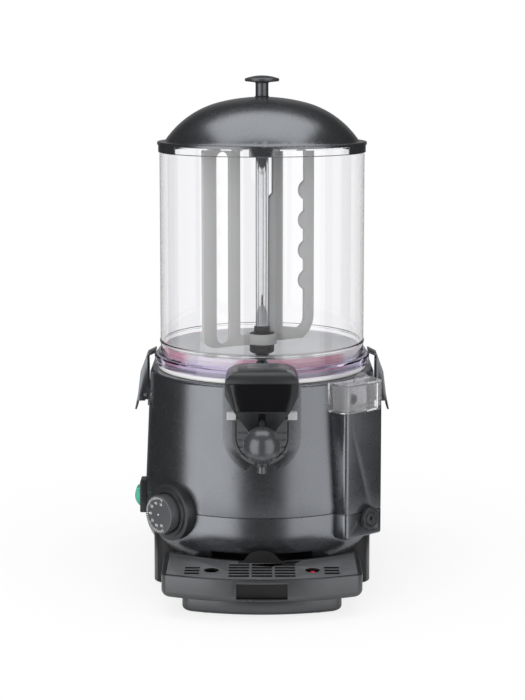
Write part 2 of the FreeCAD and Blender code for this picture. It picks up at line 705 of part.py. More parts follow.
def make_filler_lid():
    """Clear lid flush with the deck, rounded on its hinge line, with a round thumb tab."""
    z0 = DECK_Z - CUP_LID_THICK
    leaf = box_form(z0, DECK_Z).cut(hinge_side(0))
    corners = hinge_side(HINGE_R * 1.5 + SEAT).cut(hinge_middle(SEAT))
    leaf = leaf.cut(corners)
    low, high = hinge_ends()
    roll = hinge_frame(bar(HINGE_R, V(low + EAR + SEAT, -HINGE_OUT, DECK_Z - HINGE_R),
                           V(high - EAR - SEAT, -HINGE_OUT, DECK_Z - HINGE_R)))
    lid = leaf.fuse(roll).cut(hinge_bar(HINGE_PIN_R + 1.6 * RUNNING, 2.0))
    middle = (V(*BOX_CORNERS[1], 0) + V(*BOX_CORNERS[2], 0)) * 0.5 - DRAIN_AXIS * 5
    tab = Part.makeCylinder(11, 2.2, V(0, 0, 0), BACK).cut(block(-20, 20, -5, 10, -20, -1))
    tab.rotate(V(0, 0, 0), UP, math.degrees(math.atan2(BOX_SIDE.y, BOX_SIDE.x)))
    tab.translate(V(middle.x, middle.y, DECK_Z))
    return joined(lid, tab)


# Bowl and lid

def spout_point(y):
    """A point on the spout's axis, which falls from the bowl to the tap barrel."""
    return V(0, y, SPOUT_Z + (y + 108.0) * 0.4)


def make_bowl():
    inner = BOWL_R - BOWL_WALL
    bowl = turned((inner, BOWL_FOOT_Z), (BOWL_FOOT_R - 1, BOWL_FOOT_Z), (BOWL_FOOT_R, BOWL_FOOT_Z + 1),
                  (BOWL_FOOT_R, BOWL_FOOT_TOP - 1.5), (BOWL_FOOT_R - 1.5, BOWL_FOOT_TOP),
                  (BOWL_R + 2, BOWL_FOOT_TOP),
                  ((BOWL_R + 0.6, BOWL_FOOT_TOP + 0.6), (BOWL_R, BOWL_FOOT_TOP + 2)),
                  (BOWL_R, BOWL_RIDGE_Z - 1.5), ((BOWL_R + 0.9, BOWL_RIDGE_Z), (BOWL_R, BOWL_RIDGE_Z + 1.5)), (BOWL_R, BEAD_Z - 1),
                  (BEAD_R, BEAD_Z), (BEAD_R, BOWL_TOP - 1.5), (BEAD_R - 1.5, BOWL_TOP), (inner, BOWL_TOP))
    spout = bar(SPOUT_R, spout_point(-inner - 0.5), spout_point(TAP_Y + BARREL_R - 1.5))
    bowl = bowl.fuse(spout.cut(rod(inner, 200, 300)))
    bore = bar(SPOUT_BORE, spout_point(-100), spout_point(TAP_Y - 5))
    return bowl.cut(bore).cut(rod(BARREL_R, 200, 300, 0, TAP_Y)).cut(rod(inner, 240, 276))


def dome_profile(shrink):
    """Crown arc and shoulder arc of the dome, drawn in by a wall."""
    crown = DOME_CROWN_R
    centre_z = DOME_TOP_Z - crown
    lean = math.asin(DOME_CROWN_EDGE / crown)
    edge = (DOME_CROWN_EDGE, centre_z + crown * math.cos(lean))
    # The shoulder arc is tangent to the crown arc and ends at the dome's foot
    dx = DOME_FOOT_R - edge[0]
    dz = DOME_FOOT_Z - edge[1]
    shoulder = (dx * dx + dz * dz) / (-2 * (dx * math.sin(lean) + dz * math.cos(lean)))
    centre = (edge[0] - shoulder * math.sin(lean), edge[1] - shoulder * math.cos(lean))
    end = math.atan2(DOME_FOOT_R - centre[0], DOME_FOOT_Z - centre[1])

    def on(c, radius, angle):
        return (c[0] + (radius - shrink) * math.sin(angle), c[1] + (radius - shrink) * math.cos(angle))

    crown_c = (0, centre_z)
    return (on(crown_c, crown, 0), on(crown_c, crown, lean / 2), on(crown_c, crown, lean),
            on(centre, shoulder, (lean + end) / 2), on(centre, shoulder, end))


def make_lid():
    top, mid, edge, bow, foot = dome_profile(0)
    top_in, mid_in, edge_in, bow_in, foot_in = dome_profile(LID_WALL)
    flange_top = LID_Z + LID_FLANGE
    lid = turned((KNOB_BORE_R + 0.1, top_in[1]), (KNOB_BORE_R + 0.1, top[1]), (mid, edge), (bow, foot),
                 (foot[0] + 1, flange_top), (LID_R - 1.2, flange_top),
                 ((LID_R - 0.35, flange_top - 0.35), (LID_R, flange_top - 1.2)), (LID_R, LID_Z),
                 (foot_in[0], LID_Z), foot_in, (bow_in, edge_in),
                 (mid_in, (KNOB_BORE_R + 0.1, top_in[1])))
    tabs = tube(LID_R, LID_R - TAB_THICK, BEAD_Z, LID_Z + 1)
    wide = 24.5
    for azimuth, spread in ((0, 6.7), (180, 6.7), (66, wide / 2), (114, wide / 2), (246, wide / 2),
                            (294, wide / 2)):
        lid = lid.fuse(tabs.common(wedge(azimuth - 90, spread, 140, BEAD_Z - 1, LID_Z + 1)))
    return lid.removeSplitter()


def wedge(azimuth, spread, radius, z0, z1):
    """Sector prism; azimuth from +X, spread is half its angle, both in degrees."""
    a0 = math.radians(azimuth - spread)
    a1 = math.radians(azimuth + spread)
    mid = math.radians(azimuth)
    wire = outline(plan(z0), (0, 0), (radius * math.cos(a0), radius * math.sin(a0)),
                   ((radius * math.cos(mid), radius * math.sin(mid)),
                    (radius * math.cos(a1), radius * math.sin(a1))))
    return pushed(wire, V(0, 0, z1 - z0))


def make_lid_knob():
    foot = DOME_TOP_Z
    return turned((0, foot), (KNOB_STEM_R + 1.5, foot), ((KNOB_STEM_R + 0.4, foot + 0.6), (KNOB_STEM_R, foot + 2)),
                  (KNOB_STEM_R, KNOB_CAP_Z - 1.5), ((KNOB_STEM_R + 0.5, KNOB_CAP_Z - 0.4), (KNOB_STEM_R + 2, KNOB_CAP_Z)),
                  (KNOB_R - 2.5, KNOB_CAP_Z + 1), ((KNOB_R, KNOB_CAP_Z + 3), (KNOB_R - 2, KNOB_CAP_Z + 5)),
                  crown(KNOB_R - 2, KNOB_CAP_Z + 5, KNOB_TOP)).cut(
        rod(KNOB_BORE_R - 0.3, foot - 1, foot + 12))


def make_lid_knob_screw():
    under = DOME_TOP_Z - LID_WALL
    return rod(KNOB_BORE_R - 0.3, under - 1, DOME_TOP_Z + 11.5).fuse(rod(6, under - 3.5, under - 0.5))


# Stirrer, modelled along +X and turned to its rest angle

def make_mixer_column():
    return tube(COLUMN_R, SHAFT_R + 1, HUB_TOP, COLUMN_TOP - 2).fuse(
        rod(COLUMN_R - 1, COLUMN_TOP - 2, COLUMN_TOP)).removeSplitter()


def make_shaft_collar():
    return tube(COLLAR_R, COLUMN_R, HUB_TOP, COLLAR_TOP)


def make_stirrer_hub():
    hub = turned((SHAFT_R, HUB_Z), (HUB_R - 2, HUB_Z), (HUB_R, HUB_Z + 2), (HUB_R, HUB_TOP - 1.5),
                 (HUB_R - 1.5, HUB_TOP), (SHAFT_R, HUB_TOP))
    return hub


def make_drive_shaft():
    return rod(SHAFT_R, MOTOR_TOP - 11.5, 330)


def paddle_slab(points, *steps):
    wire = outline(front(-PADDLE_THICK / 2), points, *steps)
    return pushed(wire, V(0, PADDLE_THICK, 0))


def make_stirrer_paddle():
    """Two-armed paddle: a slotted blade on the left, a wavy bar on the right."""
    out, slot_out, slot_in, inside = PADDLE_LEFT
    web, near, near_out, far, far_out = PADDLE_RIGHT
    left = paddle_slab((inside, PADDLE_Z + 12), (inside, PADDLE_TOP), (out + 6, PADDLE_TOP),
                       ((out + 1.8, PADDLE_TOP - 1.8), (out, PADDLE_TOP - 6)), (out, PADDLE_Z + 14),
                       ((out + 3, PADDLE_Z + 4), (out + 14, PADDLE_Z - 2)), (inside, PADDLE_Z - 2))
    r = (slot_in - slot_out) / 2
    mid = (slot_in + slot_out) / 2
    left = left.cut(paddle_slab((slot_in, PADDLE_Z + r + 2), (slot_in, PADDLE_BAR_TOP - r),
                                ((mid, PADDLE_BAR_TOP), (slot_out, PADDLE_BAR_TOP - r)),
                                (slot_out, PADDLE_Z + r + 2), ((mid, PADDLE_Z + 2), (slot_in, PADDLE_Z + r + 2))))
    waves = []
    bump = WAVE_DEPTH
    half = WAVE_PITCH / 2
    for count in range(WAVES):
        z = WAVE_TOP - count * WAVE_PITCH
        waves.append((far, z + half * 0.62))
        waves.append(((far - bump, z), (far, z - half * 0.62)))
    right = paddle_slab((web, PADDLE_Z), (web, WEB_TOP), (near, WEB_TOP + 6), (near, PADDLE_TOP),
                        (far_out - 5, PADDLE_TOP), ((far_out - 1.5, PADDLE_TOP - 1.5), (far_out, PADDLE_TOP - 5)),
                        (far_out, 300), ((far_out - 4, 282), (far_out - 15, PADDLE_Z)))
    window = paddle_slab((near_out, PADDLE_Z + 16), (near_out, PADDLE_BAR_TOP), (far, PADDLE_BAR_TOP), *waves,
                         (far, 296), ((far - 3, 287), (far - 9, PADDLE_Z + 13)))
    right = right.cut(window)
    foot = paddle_slab((inside - 1, PADDLE_Z - 2), (inside - 1, PADDLE_Z + 12),
                       ((inside + 1, PADDLE_Z + 10.6), (inside + 4, PADDLE_Z + 10)), (web + 1, PADDLE_Z + 10),
                       (web + 1, PADDLE_Z), (0, PADDLE_Z - 2))
    sleeve = rod(HUB_R + 3, PADDLE_Z - 2, PADDLE_Z + 10)
    paddle = joined(left, right, foot, sleeve)
    paddle = paddle.cut(rod(HUB_R + SKIN, PADDLE_Z - 10, HUB_TOP))
    paddle = paddle.cut(rod(COLLAR_R + SKIN, HUB_TOP - 1, COLLAR_TOP))
    paddle = paddle.cut(rod(COLUMN_R + SKIN, HUB_TOP - 1, PADDLE_TOP + 1))
    paddle.rotate(V(0, 0, 0), UP, PADDLE_TURN)
    return paddle


# Tap

def u_plate(half, bottom, top, y0, y1):
    wire = outline(front(y0), (half, bottom + half), (half, top), (-half, top), (-half, bottom + half),
                   ((0, bottom), (half, bottom + half)))
    return pushed(wire, V(0, y1 - y0, 0))


def make_tap_backplate():
    plate = u_plate(PLATE_HALF, PLATE_Z, DECK_Z, PLATE_Y, -100)
    plate = plate.cut(body_solid())
    return plate.cut(rod(BOWL_FOOT_R + 1, DECK_Z - 1, 300))


def make_tap_surround():
    """Raised U round the barrel, with ribs, a slot for the barrel and two pivot lugs."""
    plate = u_plate(SURROUND_HALF, SURROUND_Z, SURROUND_TOP, SURROUND_Y, PLATE_Y)
    plate = plate.cut(block(-8.5, 8.5, -140, -130, 150, 205))
    for z in (166, 174, 182, 190):
        for sign in (-1, 1):
            x = sorted((sign * 14, sign * 26))
            plate = plate.cut(block(x[0], x[1], SURROUND_Y - 1, SURROUND_Y + 1.2, z, z + 2.2))
    for sign in (-1, 1):
        x = sorted((sign * LUG_IN, sign * LUG_OUT))
        lug = block(x[0], x[1], PIVOT_Y - 4.5, PLATE_Y, PIVOT_Z - 4.5, PIVOT_Z + 4.5)
        lug = lug.makeFillet(1.0, edges_where(lug, lambda e: e.BoundBox.YMax < PIVOT_Y - 4.4))
        plate = plate.fuse(lug)
    saddle = block(-6, 6, TAP_Y + 4, SURROUND_Y, SURROUND_TOP - 5, SURROUND_TOP)
    saddle = saddle.cut(rod(BARREL_R + SKIN, 200, 240, 0, TAP_Y))
    plate = plate.fuse(saddle)
    plate = plate.cut(bar(LEVER_PIN_R, V(-60, PIVOT_Y, PIVOT_Z), V(60, PIVOT_Y, PIVOT_Z)))
    swing = block(-ARM_OUT - 1, ARM_OUT + 1, PIVOT_Y - 10, PLATE_Y, PIVOT_Z - 9, PIVOT_Z + 9)
    return plate.cut(swing)


def make_tap_barrel():
    barrel = rod(BARREL_R, BARREL_Z, BARREL_TOP, 0, TAP_Y)
    bore = turned((0, BARREL_Z - 1), (NOZZLE_R, BARREL_Z - 1), (NOZZLE_R, BARREL_Z + 4), (3.6, BARREL_Z + 4),
                  (3.6, PISTON_Z), (BARREL_BORE_R, PISTON_Z + 3.5), (BARREL_BORE_R, BARREL_TOP - 2),
                  (0, BARREL_TOP - 2)).translated(V(0, TAP_Y, 0))
    barrel = barrel.cut(bore).cut(bar(SPOUT_BORE, spout_point(-120), spout_point(TAP_Y)))
    r = PISTON_PIN_R + 0.2
    slot = block(-20, 20, TAP_Y - r, TAP_Y + r, PIVOT_Z - r, PIVOT_Z + PISTON_LIFT + r)
    return barrel.cut(slot)


def make_tap_nozzle():
    """Outlet tube with a cross rib that calms the stream."""
    bore = 3.6
    nozzle = tube(NOZZLE_R, bore, NOZZLE_Z, BARREL_Z + 4, 0, TAP_Y)
    ribs = block(-bore, bore, TAP_Y - 0.5, TAP_Y + 0.5, NOZZLE_Z + 0.5, NOZZLE_Z + 8)
    return nozzle.fuse(ribs.common(rod(bore + 0.5, 100, 200, 0, TAP_Y)))


def make_tap_piston():
    """Hollow piston: fed from above, it lets the drink out under its lower seal when it lifts."""
    r = BARREL_BORE_R - RUNNING
    low, high = 196.0, 222.0
    g = 1.3
    piston = turned((0, PISTON_Z + 0.3), (3.0, PISTON_Z + 0.3), (4.6, PISTON_Z + 3), (4.6, 188), (r, 190),
                    (r, low - g), (r - g, low - g), (r - g, low + g), (r, low + g),
                    (r, high - g), (r - g, high - g), (r - g, high + g), (r, high + g),
                    (r, PISTON_TOP), (0, PISTON_TOP)).translated(V(0, TAP_Y, 0))
    piston = piston.cut(rod(2.6, 180, PISTON_TOP + 1, 0, TAP_Y))
    piston = piston.cut(bar(2.4, V(0, TAP_Y - 10, 182), V(0, TAP_Y + 10, 182)))
    return piston.cut(bar(PISTON_PIN_R, V(-10, TAP_Y, PIVOT_Z), V(10, TAP_Y, PIVOT_Z)))


def make_piston_seals():
    r = BARREL_BORE_R - RUNNING - 1.3
    rings = [tube(BARREL_BORE_R - 0.02, r, z - 1.1, z + 1.1, 0, TAP_Y) for z in (196.0, 222.0)]
    return Part.makeCompound(rings)


def make_piston_pin():
    return bar(PISTON_PIN_R, V(-ARM_OUT - 0.5, TAP_Y, PIVOT_Z), V(ARM_OUT + 0.5, TAP_Y, PIVOT_Z))


def make_tap_spring():
    """Coil spring between the piston and the barrel's closed top."""
    wire_r = 0.5
    coil_r = BARREL_BORE_R - wire_r - 0.5
    z0 = PISTON_TOP + wire_r + 0.1
    z1 = BARREL_TOP - 2 - wire_r - 0.1
    turns = 6
    helix = Part.makeHelix((z1 - z0) / turns, z1 - z0, coil_r)
    section = Part.Wire([Part.makeCircle(wire_r, V(coil_r, 0, 0), BACK)])
    spring = Part.Wire(helix).makePipeShell([section], True, True)
    return spring.translated(V(0, TAP_Y, z0))


def make_tap_lever():
    """Fork round the barrel on the lever pin, with a front bridge and a stem for the ball."""
    low, high = PIVOT_Z + LEVER_LOW, PIVOT_Z + LEVER_HIGH
    near, far = PIVOT_Y - LEVER_NEAR, PIVOT_Y - LEVER_FAR
    wire = outline(side(ARM_IN), (PIVOT_Y, PIVOT_Z - 4.0), ((PIVOT_Y + 4.0, PIVOT_Z), (PIVOT_Y, PIVOT_Z + 4.0)),
                   (PIVOT_Y - 12, high), (far, high), (far, low), (PIVOT_Y - 16, PIVOT_Z - 4.0))
    arm = pushed(wire, V(ARM_OUT - ARM_IN, 0, 0))
    arm = arm.cut(bar(LEVER_PIN_R + RUNNING, V(0, PIVOT_Y, PIVOT_Z), V(40, PIVOT_Y, PIVOT_Z)))
    r = PISTON_PIN_R
    arm = arm.cut(block(0, 40, TAP_Y - r - 1.1, TAP_Y + r + 0.5, PIVOT_Z - r - 0.6, PIVOT_Z + r + 0.5))
    bridge = block(-ARM_OUT, ARM_OUT, far, near, low, high)
    lever = joined(arm, mirrored(arm), bridge)
    top = V(0, (near + far) / 2, low + 2)
    ball = V(0, BALL_Y, BALL_Z)
    aim = (ball - top).normalize()
    return lever.fuse(bar(STEM_R, top, ball - aim * 8).cut(block(-9, 9, near, near + 20, 150, 260)))


def make_ball_knob():
    top = V(0, PIVOT_Y - (LEVER_NEAR + LEVER_FAR) / 2, PIVOT_Z + LEVER_LOW + 2)
    centre = V(0, BALL_Y, BALL_Z)
    aim = (centre - top).normalize()
    knob = Part.makeSphere(BALL_R, centre)
    neck = Part.makeCone(BALL_R * 0.45, STEM_R + 1.2, 5.0, centre - aim * 16.5, aim * -1)
    knob = knob.fuse(neck)
    return knob.cut(bar(STEM_R + 0.02, top, centre - aim * 7.9))


def make_lever_pin():
    return bar(LEVER_PIN_R, V(-LUG_OUT - 0.5, PIVOT_Y, PIVOT_Z), V(LUG_OUT + 0.5, PIVOT_Y, PIVOT_Z))


def hood_form(inset):
    """Hood outside drawn in by a wall: a front outline crossed with a side outline."""
    h = HOOD_HALF - inset
    top = HOOD_TOP - inset
    n = 30.0 - inset
    b = 14.0 - inset
    low = HOOD_LOW
    face = outline(front(-200), (b, low), (n, 222 + inset * 0.4), (h, 240 + inset * 0.2), (h, 251 - inset * 0.5),
                   ((h - 5, 261 - inset * 0.6), (h - 14, top - 3)), ((0, top), (14 - h, top - 3)),
                   ((5 - h, 261 - inset * 0.6), (-h, 251 - inset * 0.5)), (-h, 240 + inset * 0.2),
                   (-n, 222 + inset * 0.4), (-b, low))
    i = inset
    profile = outline(side(-60), (-110, top - 3), (-128, top - 1), ((-140, top), (-152, top - 1)),
                      ((-168, top - 5), (-173 + i, 253)), (-175.5 + i, 222), (-158.8 + i * 1.2, low),
                      (PIVOT_Y - 8, low), (PIVOT_Y - 8, SURROUND_TOP + 2),
                      (-110, SURROUND_TOP + 2))
    return pushed(face, V(0, 120, 0)).common(pushed(profile, V(120, 0, 0)))


def make_tap_hood():
    hood = hood_form(0).cut(hood_form(HOOD_WALL))
    hood = hood.cut(rod(BOWL_FOOT_R + 0.6, DECK_Z + 0.2, 300)).cut(body_solid())
    hood = hood.cut(block(-SLOT_HALF, SLOT_HALF, -200, -150, 190, 220))
    hood = hood.cut(u_plate(PLATE_HALF + 1, PLATE_Z, DECK_Z + 0.2, PLATE_Y - 0.1, -100))
    hood = hood.cut(bar(SPOUT_R + LOOSE, spout_point(-118), spout_point(TAP_Y)))
    hood = hood.cut(plate_prism(0.6).common(hood_form(-1).cut(hood_form(0.8))))
    return biggest(hood)


def biggest(shape):
    return max(shape.Solids, key=lambda s: s.Volume)


def plate_prism(grow=0.0):
    """Trapezoid in front view that the bare plate fills."""
    wire = outline(front(-200), (27.5 + grow, 223 - grow), (34.5 + grow, 252 + grow),
                   (-34.5 - grow, 252 + grow), (-27.5 - grow, 223 - grow))
    return pushed(wire, V(0, 60, 0))


def make_name_plate():
    return biggest(plate_prism().common(hood_form(-0.5).cut(hood_form(0.8))))


# Dial and switch

def dial_disc(radius, start, end):
    return bar(radius, DIAL_SEAT + DIAL_AXIS * start, DIAL_SEAT + DIAL_AXIS * end)


def make_dial_ring():
    ring = dial_disc(DIAL_RING_R, -12, 9).cut(body_solid())
    lip = dial_disc(DIAL_LIP_R, 8, 12).cut(dial_disc(DIAL_KNOB_R + 1.0, 8, 13))
    ring = ring.fuse(lip).cut(dial_disc(SPINDLE_R, -30, 20))
    return ring


def make_dial_knob():
    disc = dial_disc(DIAL_KNOB_R, 9.4, DIAL_FACE)
    rim = [e for e in disc.Edges if abs((e.CenterOfMass - DIAL_SEAT).dot(DIAL_AXIS) - DIAL_FACE) < 0.1]
    disc = disc.makeFillet(1.2, rim)
    spindle = dial_disc(SPINDLE_R - RUNNING, -19.5, 10)
    return disc.fuse(spindle)


def make_thermostat():
    """Thermostat body behind the dial, with its bulb line to the bath."""
    body = dial_disc(THERMOSTAT_R, -44, -20)
    body = body.cut(dial_disc(SPINDLE_R + 0.2, -21, -15))
    neck = dial_disc(8, -20, -8).cut(dial_disc(SPINDLE_R, -22, 5))
    ear = dial_disc(THERMOSTAT_R + 6, -22, -20).cut(dial_disc(SPINDLE_R, -30, 5))
    return joined(body, neck, ear)


def switch_window(grow):
    return block(SWITCH_X - 1, SWITCH_X + 30, SWITCH_Y - SWITCH_W / 2 + 3 - grow,
                 SWITCH_Y + SWITCH_W / 2 - 3 + grow, SWITCH_Z - SWITCH_H / 2 + 4 - grow,
                 SWITCH_Z + SWITCH_H / 2 - 4 + grow)


def make_switch_frame():
    frame = block(SWITCH_X, -SEAM_HALF + 6, SWITCH_Y - SWITCH_W / 2, SWITCH_Y + SWITCH_W / 2,
                  SWITCH_Z - SWITCH_H / 2, SWITCH_Z + SWITCH_H / 2)
    frame = frame.makeFillet(1.5, edges_where(frame, lambda e: abs(e.BoundBox.XMax - SWITCH_X) < 0.01))
    frame = frame.cut(body_solid())
    body = switch_window(0).common(block(SWITCH_X + 2, SWITCH_X + 28, -60, 40, 50, 140))
    frame = frame.fuse(body)
    hole = block(SWITCH_X - 5, SWITCH_X + 13, SWITCH_Y - 8, SWITCH_Y + 8,
                 SWITCH_Z - ROCKER_H / 2 - 0.8, SWITCH_Z + ROCKER_H / 2 + 0.8)
    return frame.cut(hole).cut(rock_pin(ROCK_PIN_R + RUNNING, ROCK_PIN_HALF + SEAT))


def rock_pin(radius, half):
    return bar(radius, V(ROCK_X, SWITCH_Y - half, SWITCH_Z), V(ROCK_X, SWITCH_Y + half, SWITCH_Z))


def make_switch_rocker():
    """Rocker on a cross pin, shown tipped to one side; both ends clear the frame as it tips."""
    h = ROCKER_H / 2 - 0.85
    wire = outline(lambda x, z: V(x, SWITCH_Y - 7.6, z), (ROCK_X + 4, SWITCH_Z - h),
                   (ROCK_X - 7, SWITCH_Z - h), ((ROCK_X - 11.2, SWITCH_Z), (ROCK_X - 7, SWITCH_Z + h)),
                   (ROCK_X + 4, SWITCH_Z + h))
    rocker = pushed(wire, V(0, 15.2, 0))
    rocker.rotate(V(ROCK_X, 0, SWITCH_Z), BACK, -ROCK_REST)
    return rocker.fuse(rock_pin(ROCK_PIN_R, ROCK_PIN_HALF))


# Latches

def make_latch():
    """Right latch: a bent channel that hooks over the bowl's foot and rocks on its pin."""
    outer = ((BOWL_FOOT_R - 1.5, 262), (134, 257), (141.5, 236.6), (144.8, 209.6), (148.5, 192))
    inner = ((146.3, 192), (142.7, 209.6), (139.4, 236.6), (132.6, 254.6), (BOWL_FOOT_R - 1.5, 258.6))
    skin = outline(front(-LATCH_HALF), outer[0], *outer[1:], *inner)
    back = pushed(skin, V(0, 2 * LATCH_HALF, 0))
    cheek = outline(front(-LATCH_HALF), outer[1], outer[2], outer[3], (146.4, 202), (136.5, 202),
                    (132.4, 214), (132.6, 250))
    plate = pushed(cheek, V(0, LATCH_SHEET, 0))
    plates = plate.fuse(plate.translated(V(0, 2 * LATCH_HALF - LATCH_SHEET, 0)))
    latch = back.fuse(plates)
    latch = latch.cut(bar(LATCH_PIN_R + RUNNING, V(LATCH_PIN_X, -30, LATCH_PIN_Z), V(LATCH_PIN_X, 30, LATCH_PIN_Z)))
    return latch.removeSplitter()


def make_latch_bracket():
    """Right bracket: two ears on a plate against the body side."""
    base = block(125, 133.6, -LATCH_HALF + 3, LATCH_HALF - 3, 196, 222)
    ears = []
    for y in (-LATCH_HALF + LATCH_SHEET + SEAT, LATCH_HALF - LATCH_SHEET - SEAT - 2.4):
        ear = block(125, 138.5, y, y + 2.4, 203, 216)
        ears.append(ear.makeFillet(2.5, edges_where(ear, lambda e: e.BoundBox.XMin > 138.4 and e.BoundBox.YLength > 1)))
    bracket = joined(base, *ears).cut(body_solid())
    return bracket.cut(bar(LATCH_PIN_R, V(LATCH_PIN_X, -30, LATCH_PIN_Z), V(LATCH_PIN_X, 30, LATCH_PIN_Z)))


def make_latch_pin():
    y = LATCH_HALF + 0.6
    return bar(LATCH_PIN_R, V(LATCH_PIN_X, -y, LATCH_PIN_Z), V(LATCH_PIN_X, y, LATCH_PIN_Z))


def make_latch_spring():
    """Torsion spring round the pin between the ears, drawn as a sleeve of its size."""
    return bar(3.0, V(LATCH_PIN_X, -8, LATCH_PIN_Z), V(LATCH_PIN_X, 8, LATCH_PIN_Z)).cut(
        bar(LATCH_PIN_R + 0.2, V(LATCH_PIN_X, -9, LATCH_PIN_Z), V(LATCH_PIN_X, 9, LATCH_PIN_Z)))


# Drip tray

def crescent(z, inset=0.0, half=TRAY_HALF):
    """Tray outline: a wide front arc and a rear arc that follows the body."""
    h = half - inset
    r = TRAY_R - inset
    tip = TRAY_TIP + inset
    side_front = tip + r - math.sqrt(r * r - h * h)
    rb = TRAY_BACK_R + inset
    back = TRAY_BACK - inset
    side_back = back + rb - math.sqrt(rb * rb - h * h)
    return outline(plan(z), (-h, side_front), ((0, tip), (h, side_front)), (h, side_back),
                   ((0, back), (-h, side_back)))


def make_drip_tray():
    form = pushed(crescent(TRAY_Z), V(0, 0, TRAY_TOP - TRAY_Z))
    corners = edges_where(form, lambda e: e.BoundBox.ZLength > 1 and e.BoundBox.YMax < -150)
    form = form.makeFillet(12, corners)
    rear = edges_where(form, lambda e: e.BoundBox.ZLength > 1 and e.BoundBox.YMax > -120
                       and e.BoundBox.YLength < 0.1)
    form = form.makeFillet(6, rear)
    form = form.makeFillet(8, edges_where(form, lambda e: level(TRAY_Z)(e) and e.BoundBox.YMin < -150))
    form = form.makeFillet(1.2, edges_where(form, level(TRAY_TOP)))
    hollow = pushed(crescent(TRAY_Z + TRAY_WALL, 9.0), V(0, 0, 40))
    ledge = pushed(crescent(TRAY_TOP - GRID_THICK - SEAT, 5.0), V(0, 0, 20))
    pull = block(-PULL_HALF, PULL_HALF, TRAY_TIP - 5, TRAY_TIP + 7, TRAY_Z + 5, TRAY_Z + 5 + PULL_H)
    tray = form.cut(hollow).cut(ledge).cut(pull)
    pin = rod(1.5, TRAY_Z + 1, TRAY_TOP - GRID_THICK - 4, GRID_HOLE_X, FLOAT_Y)
    return tray.fuse(pin)


def make_drip_grid():
    grid = pushed(crescent(TRAY_TOP - GRID_THICK, 5.0 + SEAT), V(0, 0, GRID_THICK - 0.3))
    slot = 6.0
    for row in range(5):
        y = -190 + row * 10.0
        for x0, x1 in ((-36, -14), (-11, 11), (14, 36)):
            grid = grid.cut(block(x0, x1, y, y + slot, 30, 60))
    for row in range(3):
        y = -180 + row * 10.0
        for x0, x1 in ((-84, -68), (68, 84)):
            grid = grid.cut(block(x0, x1, y, y + slot, 30, 60))
    for x in (-GRID_HOLE_X, GRID_HOLE_X):
        grid = grid.cut(rod(GRID_HOLE_R, 30, 60, x, FLOAT_Y))
    tab = Part.makeCylinder(23, 3, V(0, -141, TRAY_TOP - 9), BACK).cut(
        block(-30, 30, -150, -130, 0, TRAY_TOP - 2))
    shoulder = block(-26, 26, -141, -138, TRAY_TOP - GRID_THICK, TRAY_TOP + 2)
    return joined(grid, tab, shoulder)


def make_tray_float():
    z = TRAY_Z + TRAY_WALL + 0.4
    disc = rod(11, z, z + 6, GRID_HOLE_X, FLOAT_Y)
    stem = rod(FLOAT_R, z, TRAY_TOP - 1.5, GRID_HOLE_X, FLOAT_Y)
    stem = stem.makeFillet(2.5, edges_where(stem, level(TRAY_TOP - 1.5)))
    return disc.fuse(stem).cut(rod(1.5 + RUNNING, z - 1, TRAY_TOP - GRID_THICK - 3, GRID_HOLE_X, FLOAT_Y))


NODES = {
    "upper_housing": make_upper_housing,
    "lower_housing": make_lower_housing,
    "pedestal": make_pedestal,
    "front_foot": make_front_foot,
    "base_plate": make_base_plate,
    "rubber_feet": make_rubber_feet,
    "rear_panel": make_rear_panel,
    "panel_screws": make_panel_screws,
    "cord_gland": make_cord_gland,
    "bath_tank": make_bath_tank,
    "bath_rim": make_bath_rim,
    "heating_element": make_heating_element,
    "bowl_floor": make_bowl_floor,
    "bowl_seal": make_bowl_seal,
    "bowl": make_bowl,
    "shaft_bush": make_shaft_bush,
    "gear_motor": make_gear_motor,
    "motor_bracket": make_motor_bracket,
    "motor_screws": make_motor_screws,
    "drain_pipe": make_drain_pipe,
    "drain_plug": make_drain_plug,
    "filler_box": make_filler_box,
    "filler_cup": make_filler_cup,
    "filler_tube": make_filler_tube,
    "filler_lid": make_filler_lid,
    "lid": make_lid,
    "lid_knob": make_lid_knob,
    "lid_knob_screw": make_lid_knob_screw,
    "mixer_column": make_mixer_column,
    "shaft_collar": make_shaft_collar,
    "stirrer_hub": make_stirrer_hub,
    "stirrer_paddle": make_stirrer_paddle,
    "drive_shaft": make_drive_shaft,
    "tap_backplate": make_tap_backplate,
    "tap_surround": make_tap_surround,
    "tap_barrel": make_tap_barrel,
    "tap_nozzle": make_tap_nozzle,
    "tap_hood": make_tap_hood,
    "name_plate": make_name_plate,
    "tap_piston": make_tap_piston,
    "piston_seals": make_piston_seals,
    "piston_pin": make_piston_pin,
    "tap_spring": make_tap_spring,
    "tap_lever": make_tap_lever,
    "ball_knob": make_ball_knob,
    "lever_pin": make_lever_pin,
    "dial_ring": make_dial_ring,
    "dial_knob": make_dial_knob,
    "thermostat": make_thermostat,
    "switch_frame": make_switch_frame,
    "switch_rocker": make_switch_rocker,
    "right_latch": make_latch,
    "left_latch": lambda: mirrored(make_latch()),
    "latch_brackets": lambda: Part.makeCompound([make_latch_bracket(), mirrored(make_latch_bracket())]),
    "latch_pins": lambda: Part.makeCompound([make_latch_pin(), mirrored(make_latch_pin())]),
    "right_latch_spring": make_latch_spring,
    "left_latch_spring": lambda: mirrored(make_latch_spring()),
    "drip_tray": make_drip_tray,
    "drip_grid": make_drip_grid,
    "tray_float": make_tray_float,
}


def main():
    os.makedirs("parts", exist_ok=True)
    for name, make in NODES.items():
        shape = make()
        solids = len(shape.Solids)
        box = shape.BoundBox
        print(f"{name:20s} solids {solids} valid {shape.isValid()} volume {shape.Volume:12.1f} "
              f"x {box.XMin:7.1f} {box.XMax:7.1f} y {box.YMin:7.1f} {box.YMax:7.1f} "
              f"z {box.ZMin:6.1f} {box.ZMax:6.1f}", flush=True)
        shape.exportStep(f"parts/{name}.step")


main()
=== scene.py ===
import json
import math

